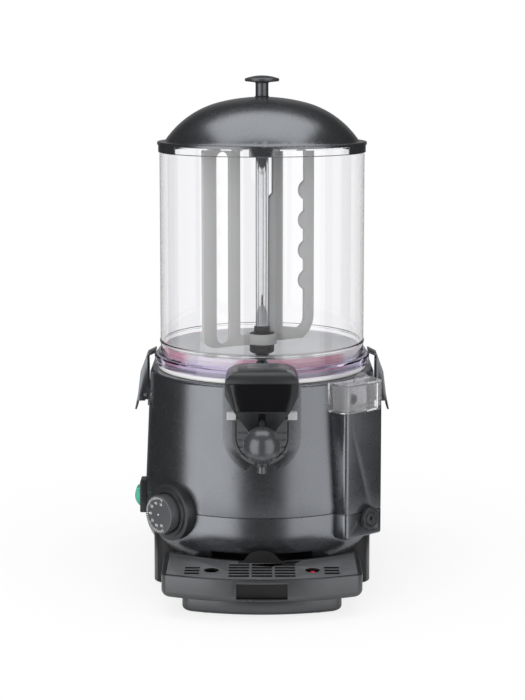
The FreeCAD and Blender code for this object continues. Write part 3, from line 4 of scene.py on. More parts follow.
import bpy
from bpy.props import FloatProperty, FloatVectorProperty, PointerProperty
from mathutils import Matrix, Vector

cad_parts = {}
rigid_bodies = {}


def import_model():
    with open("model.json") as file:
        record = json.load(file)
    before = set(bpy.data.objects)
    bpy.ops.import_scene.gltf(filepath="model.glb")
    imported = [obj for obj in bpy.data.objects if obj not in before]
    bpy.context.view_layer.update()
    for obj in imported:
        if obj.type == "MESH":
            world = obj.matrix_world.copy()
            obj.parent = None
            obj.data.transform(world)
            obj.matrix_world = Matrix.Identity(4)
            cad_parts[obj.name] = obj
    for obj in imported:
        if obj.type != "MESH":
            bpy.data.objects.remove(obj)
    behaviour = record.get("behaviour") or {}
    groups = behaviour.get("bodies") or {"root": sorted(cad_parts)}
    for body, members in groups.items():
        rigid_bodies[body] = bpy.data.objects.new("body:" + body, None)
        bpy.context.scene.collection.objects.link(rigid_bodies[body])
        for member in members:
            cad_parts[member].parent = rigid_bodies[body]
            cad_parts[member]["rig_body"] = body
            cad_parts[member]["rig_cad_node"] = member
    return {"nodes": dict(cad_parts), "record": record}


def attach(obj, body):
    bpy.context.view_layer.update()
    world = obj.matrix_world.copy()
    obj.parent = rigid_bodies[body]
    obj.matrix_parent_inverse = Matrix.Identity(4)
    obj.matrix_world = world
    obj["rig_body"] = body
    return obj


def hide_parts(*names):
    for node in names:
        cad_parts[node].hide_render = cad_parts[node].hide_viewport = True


# Heated drink dispenser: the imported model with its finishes, edges, markings, stage and camera.

bl_info = {
    "name": "Heated Drink Dispenser",
    "version": (1, 0, 0),
    "blender": (4, 5, 0),
    "location": "View3D > Sidebar > Dispenser",
    "description": "Finishes the packed drink dispenser and sets its stage",
    "category": "Object",
}

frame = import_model()
NODES = frame["nodes"]
BODY_OF = {node: body for body, nodes in frame["record"]["behaviour"]["bodies"].items() for node in nodes}
SLOT_OF = {row["node"]: row["material_slot"] for row in frame["record"]["subparts"]}
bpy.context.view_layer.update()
MM = 0.001

# Places on the imported model where a finish or a painted shade changes
FOOT_TOP = 262 * MM             # the bowl's wall is thick below this
LUG_X = 28.5 * MM
LUG_Z = 205.5 * MM
PULL_HALF = 27.4 * MM
PULL_Z = (24.0 * MM, 41.0 * MM)
PULL_BACK = -185.0 * MM
TAB_FRONT = -142.5 * MM
GRID_TOP = 46.0 * MM
WELL_TOP = GRID_TOP - 6 * MM    # the tray's floor and ledges lie below this
PADDLE_EDGE = 1.1 * MM

# Black strips on the tap's surround: painted shade in its grooves
GROOVE_X = 28.6 * MM
GROOVE_Y = -133.95 * MM
GROOVE_TOP = 203.0 * MM
GROOVE_BEND = 186.4 * MM
GROOVE_TURN = 58.0
GROOVE_WIDTH = 1.3 * MM
GROOVE_DEPTH = 0.3 * MM

# Printed dial
DIAL_AXIS = Vector((-1.0, -1.0, 0.0)).normalized()
TICKS = 31
TICKS_PER_NUMBER = 5
TICK_START = -20.0              # degrees, anticlockwise from the top
TICK_SWEEP = 225.0
TICK_OUT = 19.9 * MM
TICK_WIDTH = 0.7 * MM
TICK_END = 0.8                  # share of the width left at the outer end
SHORT_TICK = 0.7
NUMBER_OUT = 13.0 * MM
NUMBER_FIRST = 30
NUMBER_STEP = 10
DOT_R = 0.9 * MM
INK = 0.12 * MM

# Stage
FLOOR_R = 1.1
TABLE_EDGE = (0.22, 0.38)       # mirrored rays find the floor as far as this
# Azimuths in degrees, from the back turning to the right, and half widths of the tent's gaps
TENT_GAPS = ((160.0, 5.0), (102.0, 9.0), (-58.0, 12.0))
STRIP_AWAY = 1.5
STRIP_WIDTH = 1.45
STRIP_HEIGHT = 2.4
CAMERA_X = 0.0006


def linear(colour):
    """Linear RGBA from an sRGB hex value."""
    parts = [int(colour[i:i + 2], 16) / 255 for i in (1, 3, 5)]
    return [c / 12.92 if c <= 0.04045 else ((c + 0.055) / 1.055) ** 2.4 for c in parts] + [1.0]


def colour_property(name, description, colour):
    """A colour setting whose default is an sRGB hex value."""
    return FloatVectorProperty(name=name, description=description, subtype="COLOR", size=4,
                               min=0.0, max=1.0, default=linear(colour))


class DispenserColours(bpy.types.PropertyGroup):
    coat: colour_property("Coat", "Satin coat on the body, lid, filler and latches", "#74767a")
    plastic: colour_property("Black plastic", "Moulded tap, dial and switch", "#3a3b3d")
    knob: colour_property("Polished black", "Ball, lid knob and dial", "#5e6063")
    grid: colour_property("Grid", "Grid over the drip tray", "#8a8c8f")
    dark_coat: colour_property("Dark coat", "Tray, foot and pedestal", "#5a5c5e")
    plate: colour_property("Plate", "Glossy plate on the tap hood", "#131315")
    clear: colour_property("Clear plastic", "Bowl, filler cup and filler lid", "#fdfdfe")
    foot_tint: colour_property("Bowl foot", "Thick foot of the bowl", "#ece6fb")
    seal: colour_property("Seal", "Ring between the bowl and its floor", "#e0aabf")
    enamel: colour_property("Enamel", "Rim of the water bath", "#f4f4f2")
    paddle: colour_property("Paddle", "Milky stirrer paddle", "#dcdddb")
    rocker: colour_property("Rocker", "Lit green switch rocker", "#35b596")
    float_red: colour_property("Float", "Red level float in the tray", "#d81e3e")
    ink: colour_property("Ink", "Printed dial marks", "#f2f2f0")
    nylon: colour_property("Nylon", "Light pivot lugs of the tap", "#c9cacb")
    floor: colour_property("Floor", "Stage floor", "#fbfbfb")


class DispenserSizes(bpy.types.PropertyGroup):
    edge: FloatProperty(name="Edge", description="Rounding of moulded and pressed edges",
                        default=0.7 * MM, min=0.0, unit="LENGTH")
    fine_edge: FloatProperty(name="Fine edge", description="Rounding of small pieces",
                             default=0.35 * MM, min=0.0, unit="LENGTH")
    numeral: FloatProperty(name="Numerals", description="Height of the dial's numerals",
                           default=4.2 * MM, min=0.0, unit="LENGTH")
    tick: FloatProperty(name="Ticks", description="Length of the dial's ticks",
                        default=3.2 * MM, min=0.0, unit="LENGTH")


class DispenserStage(bpy.types.PropertyGroup):
    distance: FloatProperty(name="Distance", description="Camera to the bowl's axis",
                            default=1.9498, unit="LENGTH")
    height: FloatProperty(name="Height", description="Camera above the floor", default=0.598, unit="LENGTH")
    tilt: FloatProperty(name="Tilt", description="Camera's downward tilt",
                        default=math.radians(6.281), subtype="ANGLE")
    lens: FloatProperty(name="Lens", description="Focal length on a 36 mm frame", default=86.64, unit="CAMERA")
    shift: FloatProperty(name="Shift", description="Vertical lens shift", default=-0.15)
    strips: FloatProperty(name="Strips", description="Radiance of the left standing softbox", default=2.0)
    right: FloatProperty(name="Right strip", description="Radiance of the right standing softbox", default=1.45)
    top: FloatProperty(name="Top", description="Radiance of the overhead softbox", default=1.9)
    fill: FloatProperty(name="Fill", description="Even light from all around", default=0.5)


# Selecting, shaping and finishing

def choose(*objects):
    """Selects these objects only; the last one becomes active."""
    bpy.ops.object.select_all(action="DESELECT")
    for obj in objects:
        obj.select_set(True)
    bpy.context.view_layer.objects.active = objects[-1]


def settle(piece, name):
    """Names a new piece and puts its place into its mesh."""
    piece.name = name
    piece.data.name = name
    choose(piece)
    bpy.ops.object.transform_apply(location=True, rotation=True, scale=True)
    return piece


def finish_piece(piece, body, slot, *materials, smooth=30.0):
    """Shades a new piece, gives it its materials, and sets its body; the slot is not used."""
    choose(piece)
    bpy.ops.object.shade_smooth_by_angle(angle=math.radians(smooth))
    piece.data.materials.clear()
    for mat in materials:
        piece.data.materials.append(mat)
    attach(piece, body)
    return piece


def modified(piece, kind, **settings):
    """Adds a modifier with its settings and applies it."""
    choose(piece)
    bpy.ops.object.modifier_add(type=kind)
    modifier = piece.modifiers[-1]
    for key, value in settings.items():
        setattr(modifier, key, value)
    bpy.ops.object.modifier_apply(modifier=modifier.name)
    return piece


def merged_copy(node, flat=True):
    """A copy of a CAD node's mesh with its loose triangles merged and, if asked, flat faces joined."""
    choose(NODES[node])
    bpy.ops.object.duplicate()
    piece = bpy.context.active_object
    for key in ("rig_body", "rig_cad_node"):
        if key in piece:
            del piece[key]
    piece.parent = None
    bpy.ops.object.mode_set(mode="EDIT")
    bpy.ops.mesh.select_all(action="SELECT")
    bpy.ops.mesh.customdata_custom_splitnormals_clear()
    bpy.ops.mesh.remove_doubles(threshold=2e-6)
    if flat:
        bpy.ops.mesh.dissolve_limited(angle_limit=math.radians(0.4))
    bpy.ops.object.mode_set(mode="OBJECT")
    return piece


def softened(node, width, *materials, segments=2, angle=34.0, smooth=40.0):
    """A copy of a node with rounded edges that stands for the node."""
    piece = settle(merged_copy(node), node + "_rounded")
    modified(piece, "BEVEL", width=width, segments=segments, limit_method="ANGLE",
             angle_limit=math.radians(angle), use_clamp_overlap=True, miter_outer="MITER_ARC",
             harden_normals=False)
    finish_piece(piece, BODY_OF[node], SLOT_OF.get(node), *materials, smooth=smooth)
    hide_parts(node)
    return piece


def dressed(node, *materials):
    """Gives a CAD node its finish."""
    mesh = NODES[node].data
    mesh.materials.clear()
    for mat in materials:
        mesh.materials.append(mat)


# Materials

def add(tree, kind, settings=None, inputs=None):
    """Adds a node, sets its properties, and sets or links its inputs."""
    made = tree.nodes.new("ShaderNode" + kind)
    for key, value in (settings or {}).items():
        setattr(made, key, value)
    for key, value in (inputs or {}).items():
        if isinstance(value, bpy.types.NodeSocket):
            tree.links.new(value, made.inputs[key])
        else:
            made.inputs[key].default_value = value
    return made


MATERIALS = {}


def new_material(name, build):
    """One material for each name; build(tree) returns its surface socket."""
    if name not in MATERIALS:
        mat = bpy.data.materials.new(name)
        mat.use_nodes = True
        mat.node_tree.nodes.clear()
        add(mat.node_tree, "OutputMaterial", inputs={"Surface": build(mat.node_tree)})
        MATERIALS[name] = mat
    return MATERIALS[name]


def noise_of(tree, size_mm, detail=2.0):
    """Noise on the piece with grains of a size in millimetres."""
    place = add(tree, "TexCoord").outputs["Object"]
    return add(tree, "TexNoise", inputs={"Vector": place, "Scale": 1000.0 / size_mm, "Detail": detail}
               ).outputs["Fac"]


def mottled(tree, colour, size_mm, share):
    """The colour, made lighter and darker by a share in patches of a size in millimetres."""
    dark = [c * (1 - share) for c in colour[:3]] + [1.0]
    light = [min(1.0, c * (1 + share)) for c in colour[:3]] + [1.0]
    return add(tree, "Mix", {"data_type": "RGBA"},
               {"Factor": noise_of(tree, size_mm, 3.0), 6: dark, 7: light}).outputs[2]


def grain(tree, size_mm, height_mm, strength=1.0):
    """Bump from fine noise of a grain size, as a normal."""
    return add(tree, "Bump", inputs={"Height": noise_of(tree, size_mm), "Strength": strength,
                                     "Distance": height_mm * MM}).outputs["Normal"]


def varied(tree, low, high, size_mm):
    """A value between two limits that changes in patches."""
    return add(tree, "MapRange", inputs={"Value": noise_of(tree, size_mm), "From Min": 0.3, "From Max": 0.7,
                                         "To Min": low, "To Max": high}).outputs["Result"]


def smoothed(tree, value, start, end, low, high):
    """Low below the start of a range and high past its end, with a smooth step between."""
    return add(tree, "MapRange", {"interpolation_type": "SMOOTHSTEP"},
               {"Value": value, "From Min": start, "From Max": end, "To Min": low, "To Max": high}
               ).outputs["Result"]


def maths(tree, operation, *values):
    """The result of a maths node on these values."""
    return add(tree, "Math", {"operation": operation}, dict(enumerate(values))).outputs["Value"]


def either(tree, share, first, second):
    """The first value, or the second one by a share."""
    return add(tree, "Mix", {"data_type": "FLOAT"}, {0: share, 2: first, 3: second}).outputs[0]


def drawn_lines(tree, stretch, detail):
    """Fine lines on metal, long where the stretch is small."""
    place = add(tree, "TexCoord").outputs["Object"]
    stretched = add(tree, "Mapping", inputs={"Vector": place, "Scale": stretch}).outputs["Vector"]
    return add(tree, "TexNoise", inputs={"Vector": stretched, "Scale": 2500.0, "Detail": detail}
               ).outputs["Fac"]


def principled(tree, **values):
    """The surface of a principled shader with these inputs."""
    return add(tree, "BsdfPrincipled", inputs={key.replace("_", " "): v for key, v in values.items()}
               ).outputs["BSDF"]


def powder_coated_steel(colour):
    """Metallic satin powder coat on pressed steel: broad soft reflections and a faint orange peel."""
    def build(tree):
        return principled(tree, Base_Color=mottled(tree, colour, 60.0, 0.04), Metallic=0.9,
                          Roughness=varied(tree, 0.25, 0.29, 25.0), Normal=grain(tree, 1.6, 0.02, 0.1))
    return new_material("powder_coated_steel", build)


def dark_coated_steel(colour):
    """The same satin coat in a darker mix, on the pieces near the counter."""
    def build(tree):
        return principled(tree, Base_Color=mottled(tree, colour, 50.0, 0.05), Metallic=0.8,
                          Roughness=varied(tree, 0.29, 0.35, 20.0), Normal=grain(tree, 1.4, 0.02, 0.12))
    return new_material("dark_coated_steel", build)


def satin_steel(colour):
    """Worn satin coat on the grid: rough enough to catch the light from above."""
    def build(tree):
        return principled(tree, Base_Color=mottled(tree, colour, 12.0, 0.08), Metallic=0.6,
                          Roughness=varied(tree, 0.42, 0.52, 9.0), Normal=grain(tree, 1.0, 0.02, 0.4))
    return new_material("satin_steel", build)


def moulded_abs(colour):
    """Injection moulded ABS with a fine spark-eroded texture: duller than the coat, with soft lights."""
    def build(tree):
        return principled(tree, Base_Color=mottled(tree, colour, 40.0, 0.05), Metallic=0.35,
                          Roughness=varied(tree, 0.28, 0.34, 15.0), Normal=grain(tree, 0.9, 0.02, 0.4))
    return new_material("moulded_abs", build)


def polished_abs(colour):
    """The same plastic from a polished mould, for the knobs that a hand holds."""
    def build(tree):
        return principled(tree, Base_Color=mottled(tree, colour, 30.0, 0.04), Metallic=0.6,
                          Roughness=varied(tree, 0.25, 0.31, 12.0), Normal=grain(tree, 2.5, 0.01, 0.2))
    return new_material("polished_abs", build)


def dial_face(colour):
    """Moulded dial with a spun satin face that takes the light as the coat does."""
    def build(tree):
        return principled(tree, Base_Color=mottled(tree, colour, 10.0, 0.04), Metallic=0.35,
                          Roughness=varied(tree, 0.34, 0.4, 8.0), Normal=grain(tree, 0.6, 0.01, 0.4))
    return new_material("satin_dial", build)


def acrylic_plate(colour):
    """Cast acrylic, polished: nearly black with a sharp gloss."""
    def build(tree):
        return principled(tree, Base_Color=mottled(tree, colour, 20.0, 0.08), Roughness=0.09,
                          Normal=grain(tree, 6.0, 0.004, 0.2))
    return new_material("cast_acrylic", build)


def clear_wall(tree, colour, roughness, share=1.0):
    """Clear plastic that lets lamps through, so what it encloses stays lit."""
    glass = principled(tree, Base_Color=colour, Roughness=roughness, Transmission_Weight=share, IOR=1.49,
                       Normal=grain(tree, 45.0, 0.03, 0.1))
    open_way = add(tree, "BsdfTransparent", inputs={"Color": colour}).outputs["BSDF"]
    shadow = add(tree, "LightPath").outputs["Is Shadow Ray"]
    return add(tree, "MixShader", inputs={0: shadow, 1: glass, 2: open_way}).outputs["Shader"]


def clear_polycarbonate(colour):
    """Blow moulded polycarbonate: water clear, with dark edges where the wall is seen end on."""
    return new_material("clear_polycarbonate", lambda tree: clear_wall(tree, colour, 0.01))


def thick_polycarbonate(colour):
    """The same plastic where it is thick, which takes a lavender tint."""
    return new_material("thick_polycarbonate", lambda tree: clear_wall(tree, colour, 0.03))


def clear_styrene(colour):
    """Moulded clear styrene of the filler: a little cloudy from handling."""
    return new_material("clear_styrene", lambda tree: clear_wall(tree, colour, 0.05, 0.93))


def silicone(colour):
    """Moulded silicone rubber: matt, slightly see-through, rosy where it is pressed and paler between."""
    def build(tree):
        patch = smoothed(tree, noise_of(tree, 75.0, 1.0), 0.46, 0.58, 0.0, 1.0)
        tone = add(tree, "Mix", {"data_type": "RGBA"},
                   {"Factor": patch, 6: linear("#ece4f0"), 7: colour}).outputs[2]
        return principled(tree, Base_Color=tone, Roughness=0.5,
                          Subsurface_Weight=0.25, Subsurface_Scale=2 * MM)
    return new_material("silicone_rubber", build)


def enamel(colour):
    """White enamel on the bath's rim: bright with a soft gloss."""
    def build(tree):
        return principled(tree, Base_Color=mottled(tree, colour, 30.0, 0.02), Roughness=0.28,
                          Normal=grain(tree, 4.0, 0.01, 0.3))
    return new_material("white_enamel", build)


def milky_polypropylene(colour):
    """Moulded polypropylene: milky, light passes into it, with a faint mould grain."""
    def build(tree):
        return principled(tree, Base_Color=mottled(tree, colour, 35.0, 0.03), Roughness=0.42,
                          Subsurface_Weight=0.2, Subsurface_Scale=3 * MM, Normal=grain(tree, 1.2, 0.01, 0.3))
    return new_material("milky_polypropylene", build)


def chrome(colour):
    """Polished chromed tube: mirror bright with hairline drawing marks along it."""
    def build(tree):
        bump = add(tree, "Bump", inputs={"Height": drawn_lines(tree, (1.0, 1.0, 0.02), 2.0),
                                         "Strength": 0.15, "Distance": 0.01 * MM})
        return principled(tree, Base_Color=colour, Metallic=1.0, Roughness=0.07,
                          Normal=bump.outputs["Normal"])
    return new_material("chromed_steel", build)


def stainless(colour):
    """Brushed stainless steel: bright, with fine lines round or along the piece."""
    def build(tree):
        rough = add(tree, "MapRange", inputs={"Value": drawn_lines(tree, (0.05, 1.0, 1.0), 3.0),
                                              "To Min": 0.24, "To Max": 0.38})
        return principled(tree, Base_Color=mottled(tree, colour, 25.0, 0.04), Metallic=1.0,
                          Roughness=rough.outputs["Result"])
    return new_material("brushed_stainless", build)


def nylon(colour):
    """Light grey nylon: satin, slightly mottled by flow marks."""
    def build(tree):
        return principled(tree, Base_Color=mottled(tree, colour, 6.0, 0.05), Roughness=0.38,
                          Subsurface_Weight=0.1, Subsurface_Scale=1 * MM)
    return new_material("grey_nylon", build)


def lit_polycarbonate(colour):
    """Clear green polycarbonate over a lamp: bright inside, with a glossy face."""
    def build(tree):
        body = mottled(tree, colour, 9.0, 0.18)
        return principled(tree, Base_Color=body, Roughness=0.15, Transmission_Weight=0.25, IOR=1.58,
                          Emission_Color=body, Emission_Strength=0.12)
    return new_material("green_polycarbonate", build)


def dyed_plastic(name, colour, roughness=0.35):
    """Plain moulded plastic or rubber of one colour."""
    def build(tree):
        return principled(tree, Base_Color=mottled(tree, colour, 8.0, 0.06), Roughness=roughness,
                          Normal=grain(tree, 0.8, 0.01, 0.4))
    return new_material(name, build)


def black_and_painted_shade():
    """Matt black plastic: the real colour of the stirrer's hub and collar, and painted shade on the pedestal's
    front, the tray's well and pull recess, the grid's tab and bar sides, and the surround's grooves.
    """
    return dyed_plastic("black_and_painted_shade", linear("#0c0c0d"), 0.55)


def printed_ink(colour):
    """Screen printed ink: matt and slightly uneven."""
    def build(tree):
        return principled(tree, Base_Color=mottled(tree, colour, 1.5, 0.05), Roughness=0.6)
    return new_material("printed_ink", build)


class Dresser:
    """Shared start of the operators: the colour and size groups."""
    bl_options = {"REGISTER", "UNDO"}

    @property
    def colours(self):
        return bpy.context.scene.dispenser_colours

    @property
    def sizes(self):
        return bpy.context.scene.dispenser_sizes


class DISPENSER_OT_body(Dresser, bpy.types.Operator):
    """Housings, pedestal, foot and filler box in satin coat and moulded plastic"""
    bl_idname = "dispenser.body"
    bl_label = "Body"

    def execute(self, context):
        coat = powder_coated_steel(self.colours.coat[:])
        for node in ("upper_housing", "lower_housing", "filler_box"):
            softened(node, self.sizes.edge, coat)
        dark = dark_coated_steel(self.colours.dark_coat[:])
        softened("front_foot", self.sizes.edge, dark)
        pedestal = softened("pedestal", self.sizes.edge, dark, black_and_painted_shade())
        # Faces turned to the front take the black as painted shade on the pedestal's front, under the body's
        # bulge.
        for face in pedestal.data.polygons:
            face.material_index = int(face.normal.y < -0.6)
        return {"FINISHED"}


class DISPENSER_OT_underside(Dresser, bpy.types.Operator):
    """Feet, base plate, service panel, cord bush and screws"""
    bl_idname = "dispenser.underside"
    bl_label = "Underside and rear"

    def execute(self, context):
        rubber = dyed_plastic("black_rubber", linear("#1b1b1c"), 0.7)
        steel = stainless(linear("#b4b5b7"))
        coat = powder_coated_steel(self.colours.coat[:])
        for node in ("rubber_feet", "cord_gland"):
            softened(node, self.sizes.fine_edge, rubber)
        dressed("rear_panel", coat)
        for node in ("base_plate", "panel_screws"):
            dressed(node, steel)
        return {"FINISHED"}


class DISPENSER_OT_works(Dresser, bpy.types.Operator):
    """Water bath, heater, motor and plumbing inside the body"""
    bl_idname = "dispenser.works"
    bl_label = "Works"

    def execute(self, context):
        steel = stainless(linear("#b4b5b7"))
        motor = dyed_plastic("cast_zinc", linear("#7d7f82"), 0.5)
        rubber = dyed_plastic("grey_rubber", linear("#55565a"), 0.6)
        softened("bath_rim", self.sizes.edge, enamel(self.colours.enamel[:]))
        for node in ("bath_tank", "heating_element", "motor_bracket", "motor_screws", "drive_shaft",
                     "tap_spring", "right_latch_spring", "left_latch_spring", "lid_knob_screw",
                     "piston_pin", "lever_pin", "latch_pins", "bowl_floor"):
            dressed(node, steel)
        dressed("gear_motor", motor)
        dressed("thermostat", motor)
        for node in ("drain_pipe", "filler_tube", "shaft_bush", "piston_seals", "tap_piston"):
            dressed(node, rubber)
        return {"FINISHED"}


class DISPENSER_OT_bowl(Dresser, bpy.types.Operator):
    """Clear bowl with its tinted foot, and the seal round its floor"""
    bl_idname = "dispenser.bowl"
    bl_label = "Bowl"

    def execute(self, context):
        clear = clear_polycarbonate(self.colours.clear[:])
        thick = thick_polycarbonate(self.colours.foot_tint[:])
        bowl = settle(merged_copy("bowl"), "bowl_clear")
        finish_piece(bowl, "body", SLOT_OF.get("bowl"), clear, thick, smooth=35.0)
        for face in bowl.data.polygons:
            face.material_index = int(face.center.z < FOOT_TOP)
        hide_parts("bowl")
        dressed("bowl_seal", silicone(self.colours.seal[:]))
        return {"FINISHED"}


class DISPENSER_OT_lid(Dresser, bpy.types.Operator):
    """Domed lid with its rim tabs and mushroom knob"""
    bl_idname = "dispenser.lid"
    bl_label = "Lid"

    def execute(self, context):
        softened("lid", self.sizes.fine_edge, powder_coated_steel(self.colours.coat[:]))
        softened("lid_knob", self.sizes.fine_edge, polished_abs(self.colours.knob[:]))
        return {"FINISHED"}


class DISPENSER_OT_stirrer(Dresser, bpy.types.Operator):
    """Chromed column, black hub and milky paddle"""
    bl_idname = "dispenser.stirrer"
    bl_label = "Stirrer"

    def execute(self, context):
        softened("stirrer_paddle", PADDLE_EDGE, milky_polypropylene(self.colours.paddle[:]), segments=3)
        softened("mixer_column", self.sizes.edge, chrome(linear("#e4e5e7")))
        softened("stirrer_hub", self.sizes.edge, black_and_painted_shade())
        softened("shaft_collar", self.sizes.fine_edge, black_and_painted_shade())
        return {"FINISHED"}


def groove_shade_strip(side, name):
    """A thin black strip of painted shade down the surround's groove that bends in along its round end."""
    bpy.ops.object.select_all(action="DESELECT")
    bpy.ops.mesh.primitive_plane_add(size=1.0, location=(side * GROOVE_X, GROOVE_Y, GROOVE_TOP))
    line = bpy.context.active_object
    line.scale = (GROOVE_WIDTH, GROOVE_DEPTH, 1.0)
    settle(line, name)
    bpy.ops.object.mode_set(mode="EDIT")
    bpy.ops.mesh.select_all(action="SELECT")
    bpy.ops.mesh.extrude_region_move(TRANSFORM_OT_translate={"value": (0, 0, GROOVE_BEND - GROOVE_TOP)})
    bpy.ops.mesh.spin(steps=12, angle=-math.radians(GROOVE_TURN) * side, center=(0.0, GROOVE_Y, GROOVE_BEND),
                      axis=(0.0, 1.0, 0.0))
    bpy.ops.mesh.select_all(action="SELECT")
    bpy.ops.mesh.remove_doubles(threshold=1e-7)
    bpy.ops.mesh.normals_make_consistent(inside=False)
    bpy.ops.object.mode_set(mode="OBJECT")
    return line


class DISPENSER_OT_tap(Dresser, bpy.types.Operator):
    """Tap hood, bare plate, surround, barrel, lever and ball"""
    bl_idname = "dispenser.tap"
    bl_label = "Tap"

    def execute(self, context):
        plastic = moulded_abs(self.colours.plastic[:])
        coat = powder_coated_steel(self.colours.coat[:])
        polished = polished_abs(self.colours.knob[:])
        softened("tap_hood", self.sizes.edge, plastic)
        softened("name_plate", self.sizes.fine_edge, acrylic_plate(self.colours.plate[:]))
        softened("tap_backplate", self.sizes.edge, coat)
        surround = settle(merged_copy("tap_surround", flat=False), "tap_surround_finished")
        satin = dyed_plastic("satin_plastic", self.colours.knob[:], 0.42)
        finish_piece(surround, BODY_OF["tap_surround"], SLOT_OF.get("tap_surround"), satin,
                     nylon(self.colours.nylon[:]))
        for face in surround.data.polygons:
            face.material_index = int(abs(face.center.x) > LUG_X and face.center.z > LUG_Z)
        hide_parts("tap_surround")
        # The black strips are painted shade in the grooves along the surround.
        for side, name in ((-1, "left_groove_shade"), (1, "right_groove_shade")):
            finish_piece(groove_shade_strip(side, name), "body", None, black_and_painted_shade())
        softened("tap_barrel", self.sizes.fine_edge, plastic)
        softened("tap_lever", self.sizes.edge, plastic)
        softened("ball_knob", self.sizes.fine_edge, polished)
        softened("tap_nozzle", self.sizes.fine_edge, polished)
        return {"FINISHED"}


def dial_plane(node):
    """The middle of a dial's face."""
    points = [vertex.co for vertex in NODES[node].data.vertices]
    reach = max(point.dot(DIAL_AXIS) for point in points)
    face = [point for point in points if point.dot(DIAL_AXIS) > reach - 0.01 * MM]
    return sum(face, Vector()) / len(face)


def flat_bar(width, length, place, turn):
    """A printed tick: a thin bar with its outer end drawn narrower."""
    bpy.ops.object.select_all(action="DESELECT")
    bpy.ops.mesh.primitive_cube_add(size=1.0, location=place, scale=(width, length, INK))
    bpy.ops.object.transform_apply(location=True, rotation=True, scale=True)
    bar = bpy.context.active_object
    bpy.ops.object.mode_set(mode="EDIT")
    bpy.ops.mesh.select_all(action="DESELECT")
    bpy.ops.object.mode_set(mode="OBJECT")
    for vertex in bar.data.vertices:
        vertex.select = vertex.co.y > place[1]
    bpy.ops.object.mode_set(mode="EDIT")
    bpy.ops.transform.resize(value=(TICK_END, 1.0, 1.0), center_override=place)
    bpy.ops.object.mode_set(mode="OBJECT")
    bar.matrix_world = Matrix.Rotation(turn, 4, "Z")
    bpy.ops.object.transform_apply(location=True, rotation=True, scale=True)
    return bar


def numeral(text, height, out, turn):
    """Upright printed figures at a radius and an angle from the top."""
    bpy.ops.object.select_all(action="DESELECT")
    place = (-out * math.sin(turn), out * math.cos(turn), -INK / 2)
    bpy.ops.object.text_add(location=place)
    figures = bpy.context.active_object
    figures.data.body = text
    figures.data.size = height
    figures.data.extrude = INK / 2
    figures.data.offset = 0.06 * MM
    figures.data.align_x = "CENTER"
    figures.data.align_y = "CENTER"
    bpy.ops.object.convert(target="MESH")
    bpy.ops.object.transform_apply(location=True, rotation=True, scale=True)
    return bpy.context.active_object


def centre_dot(radius):
    """A small raised dot with a bevelled rim."""
    bpy.ops.object.select_all(action="DESELECT")
    bpy.ops.mesh.primitive_cylinder_add(vertices=24, radius=radius, depth=INK)
    dot = bpy.context.active_object
    return modified(dot, "BEVEL", width=INK / 4, segments=1, limit_method="ANGLE")


class DISPENSER_OT_dial(Dresser, bpy.types.Operator):
    """Thermostat dial with its ring, ticks, numerals and centre dot"""
    bl_idname = "dispenser.dial"
    bl_label = "Dial"

    def execute(self, context):
        plastic = moulded_abs(self.colours.plastic[:])
        softened("dial_ring", self.sizes.edge, plastic)
        softened("dial_knob", self.sizes.fine_edge, dial_face(self.colours.knob[:]))
        face = dial_plane("dial_knob")
        marks = []
        for count in range(TICKS):
            angle = math.radians(TICK_START + TICK_SWEEP * count / (TICKS - 1))
            long = count % TICKS_PER_NUMBER == 0
            length = self.sizes.tick * (1.0 if long else SHORT_TICK)
            marks.append(flat_bar(TICK_WIDTH, length, (0.0, TICK_OUT - length / 2, 0.0), angle))
            if long:
                number = str(NUMBER_FIRST + NUMBER_STEP * (count // TICKS_PER_NUMBER))
                marks.append(numeral(number, self.sizes.numeral, NUMBER_OUT, angle))
        marks.append(centre_dot(DOT_R))
        choose(*marks)
        bpy.ops.object.join()
        piece = context.active_object
        right = Vector((-DIAL_AXIS.y, DIAL_AXIS.x, 0.0))
        turn = Matrix((right, Vector((0, 0, 1)), DIAL_AXIS)).transposed().to_4x4()
        piece.matrix_world = Matrix.Translation(face) @ turn
        settle(piece, "dial_marks")
        finish_piece(piece, "dial_knob", None, printed_ink(self.colours.ink[:]))
        return {"FINISHED"}


class DISPENSER_OT_switch(Dresser, bpy.types.Operator):
    """Black switch frame and lit green rocker"""
    bl_idname = "dispenser.switch"
    bl_label = "Switch"

    def execute(self, context):
        softened("switch_frame", self.sizes.fine_edge, moulded_abs(self.colours.plastic[:]))
        softened("switch_rocker", self.sizes.edge, lit_polycarbonate(self.colours.rocker[:]))
        return {"FINISHED"}


class DISPENSER_OT_filler(Dresser, bpy.types.Operator):
    """Clear filler cup and lid, and the drain plug"""
    bl_idname = "dispenser.filler"
    bl_label = "Filler"

    def execute(self, context):
        clear = clear_styrene(self.colours.clear[:])
        for node in ("filler_cup", "filler_lid"):
            piece = settle(merged_copy(node), node + "_clear")
            finish_piece(piece, BODY_OF[node], SLOT_OF.get(node), clear)
            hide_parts(node)
        softened("drain_plug", self.sizes.fine_edge, moulded_abs(self.colours.plastic[:]))
        return {"FINISHED"}


class DISPENSER_OT_latches(Dresser, bpy.types.Operator):
    """Side latches that hold the bowl, with their brackets"""
    bl_idname = "dispenser.latches"
    bl_label = "Latches"

    def execute(self, context):
        coat = powder_coated_steel(self.colours.coat[:])
        for node in ("right_latch", "left_latch", "latch_brackets"):
            softened(node, self.sizes.fine_edge, coat)
        return {"FINISHED"}


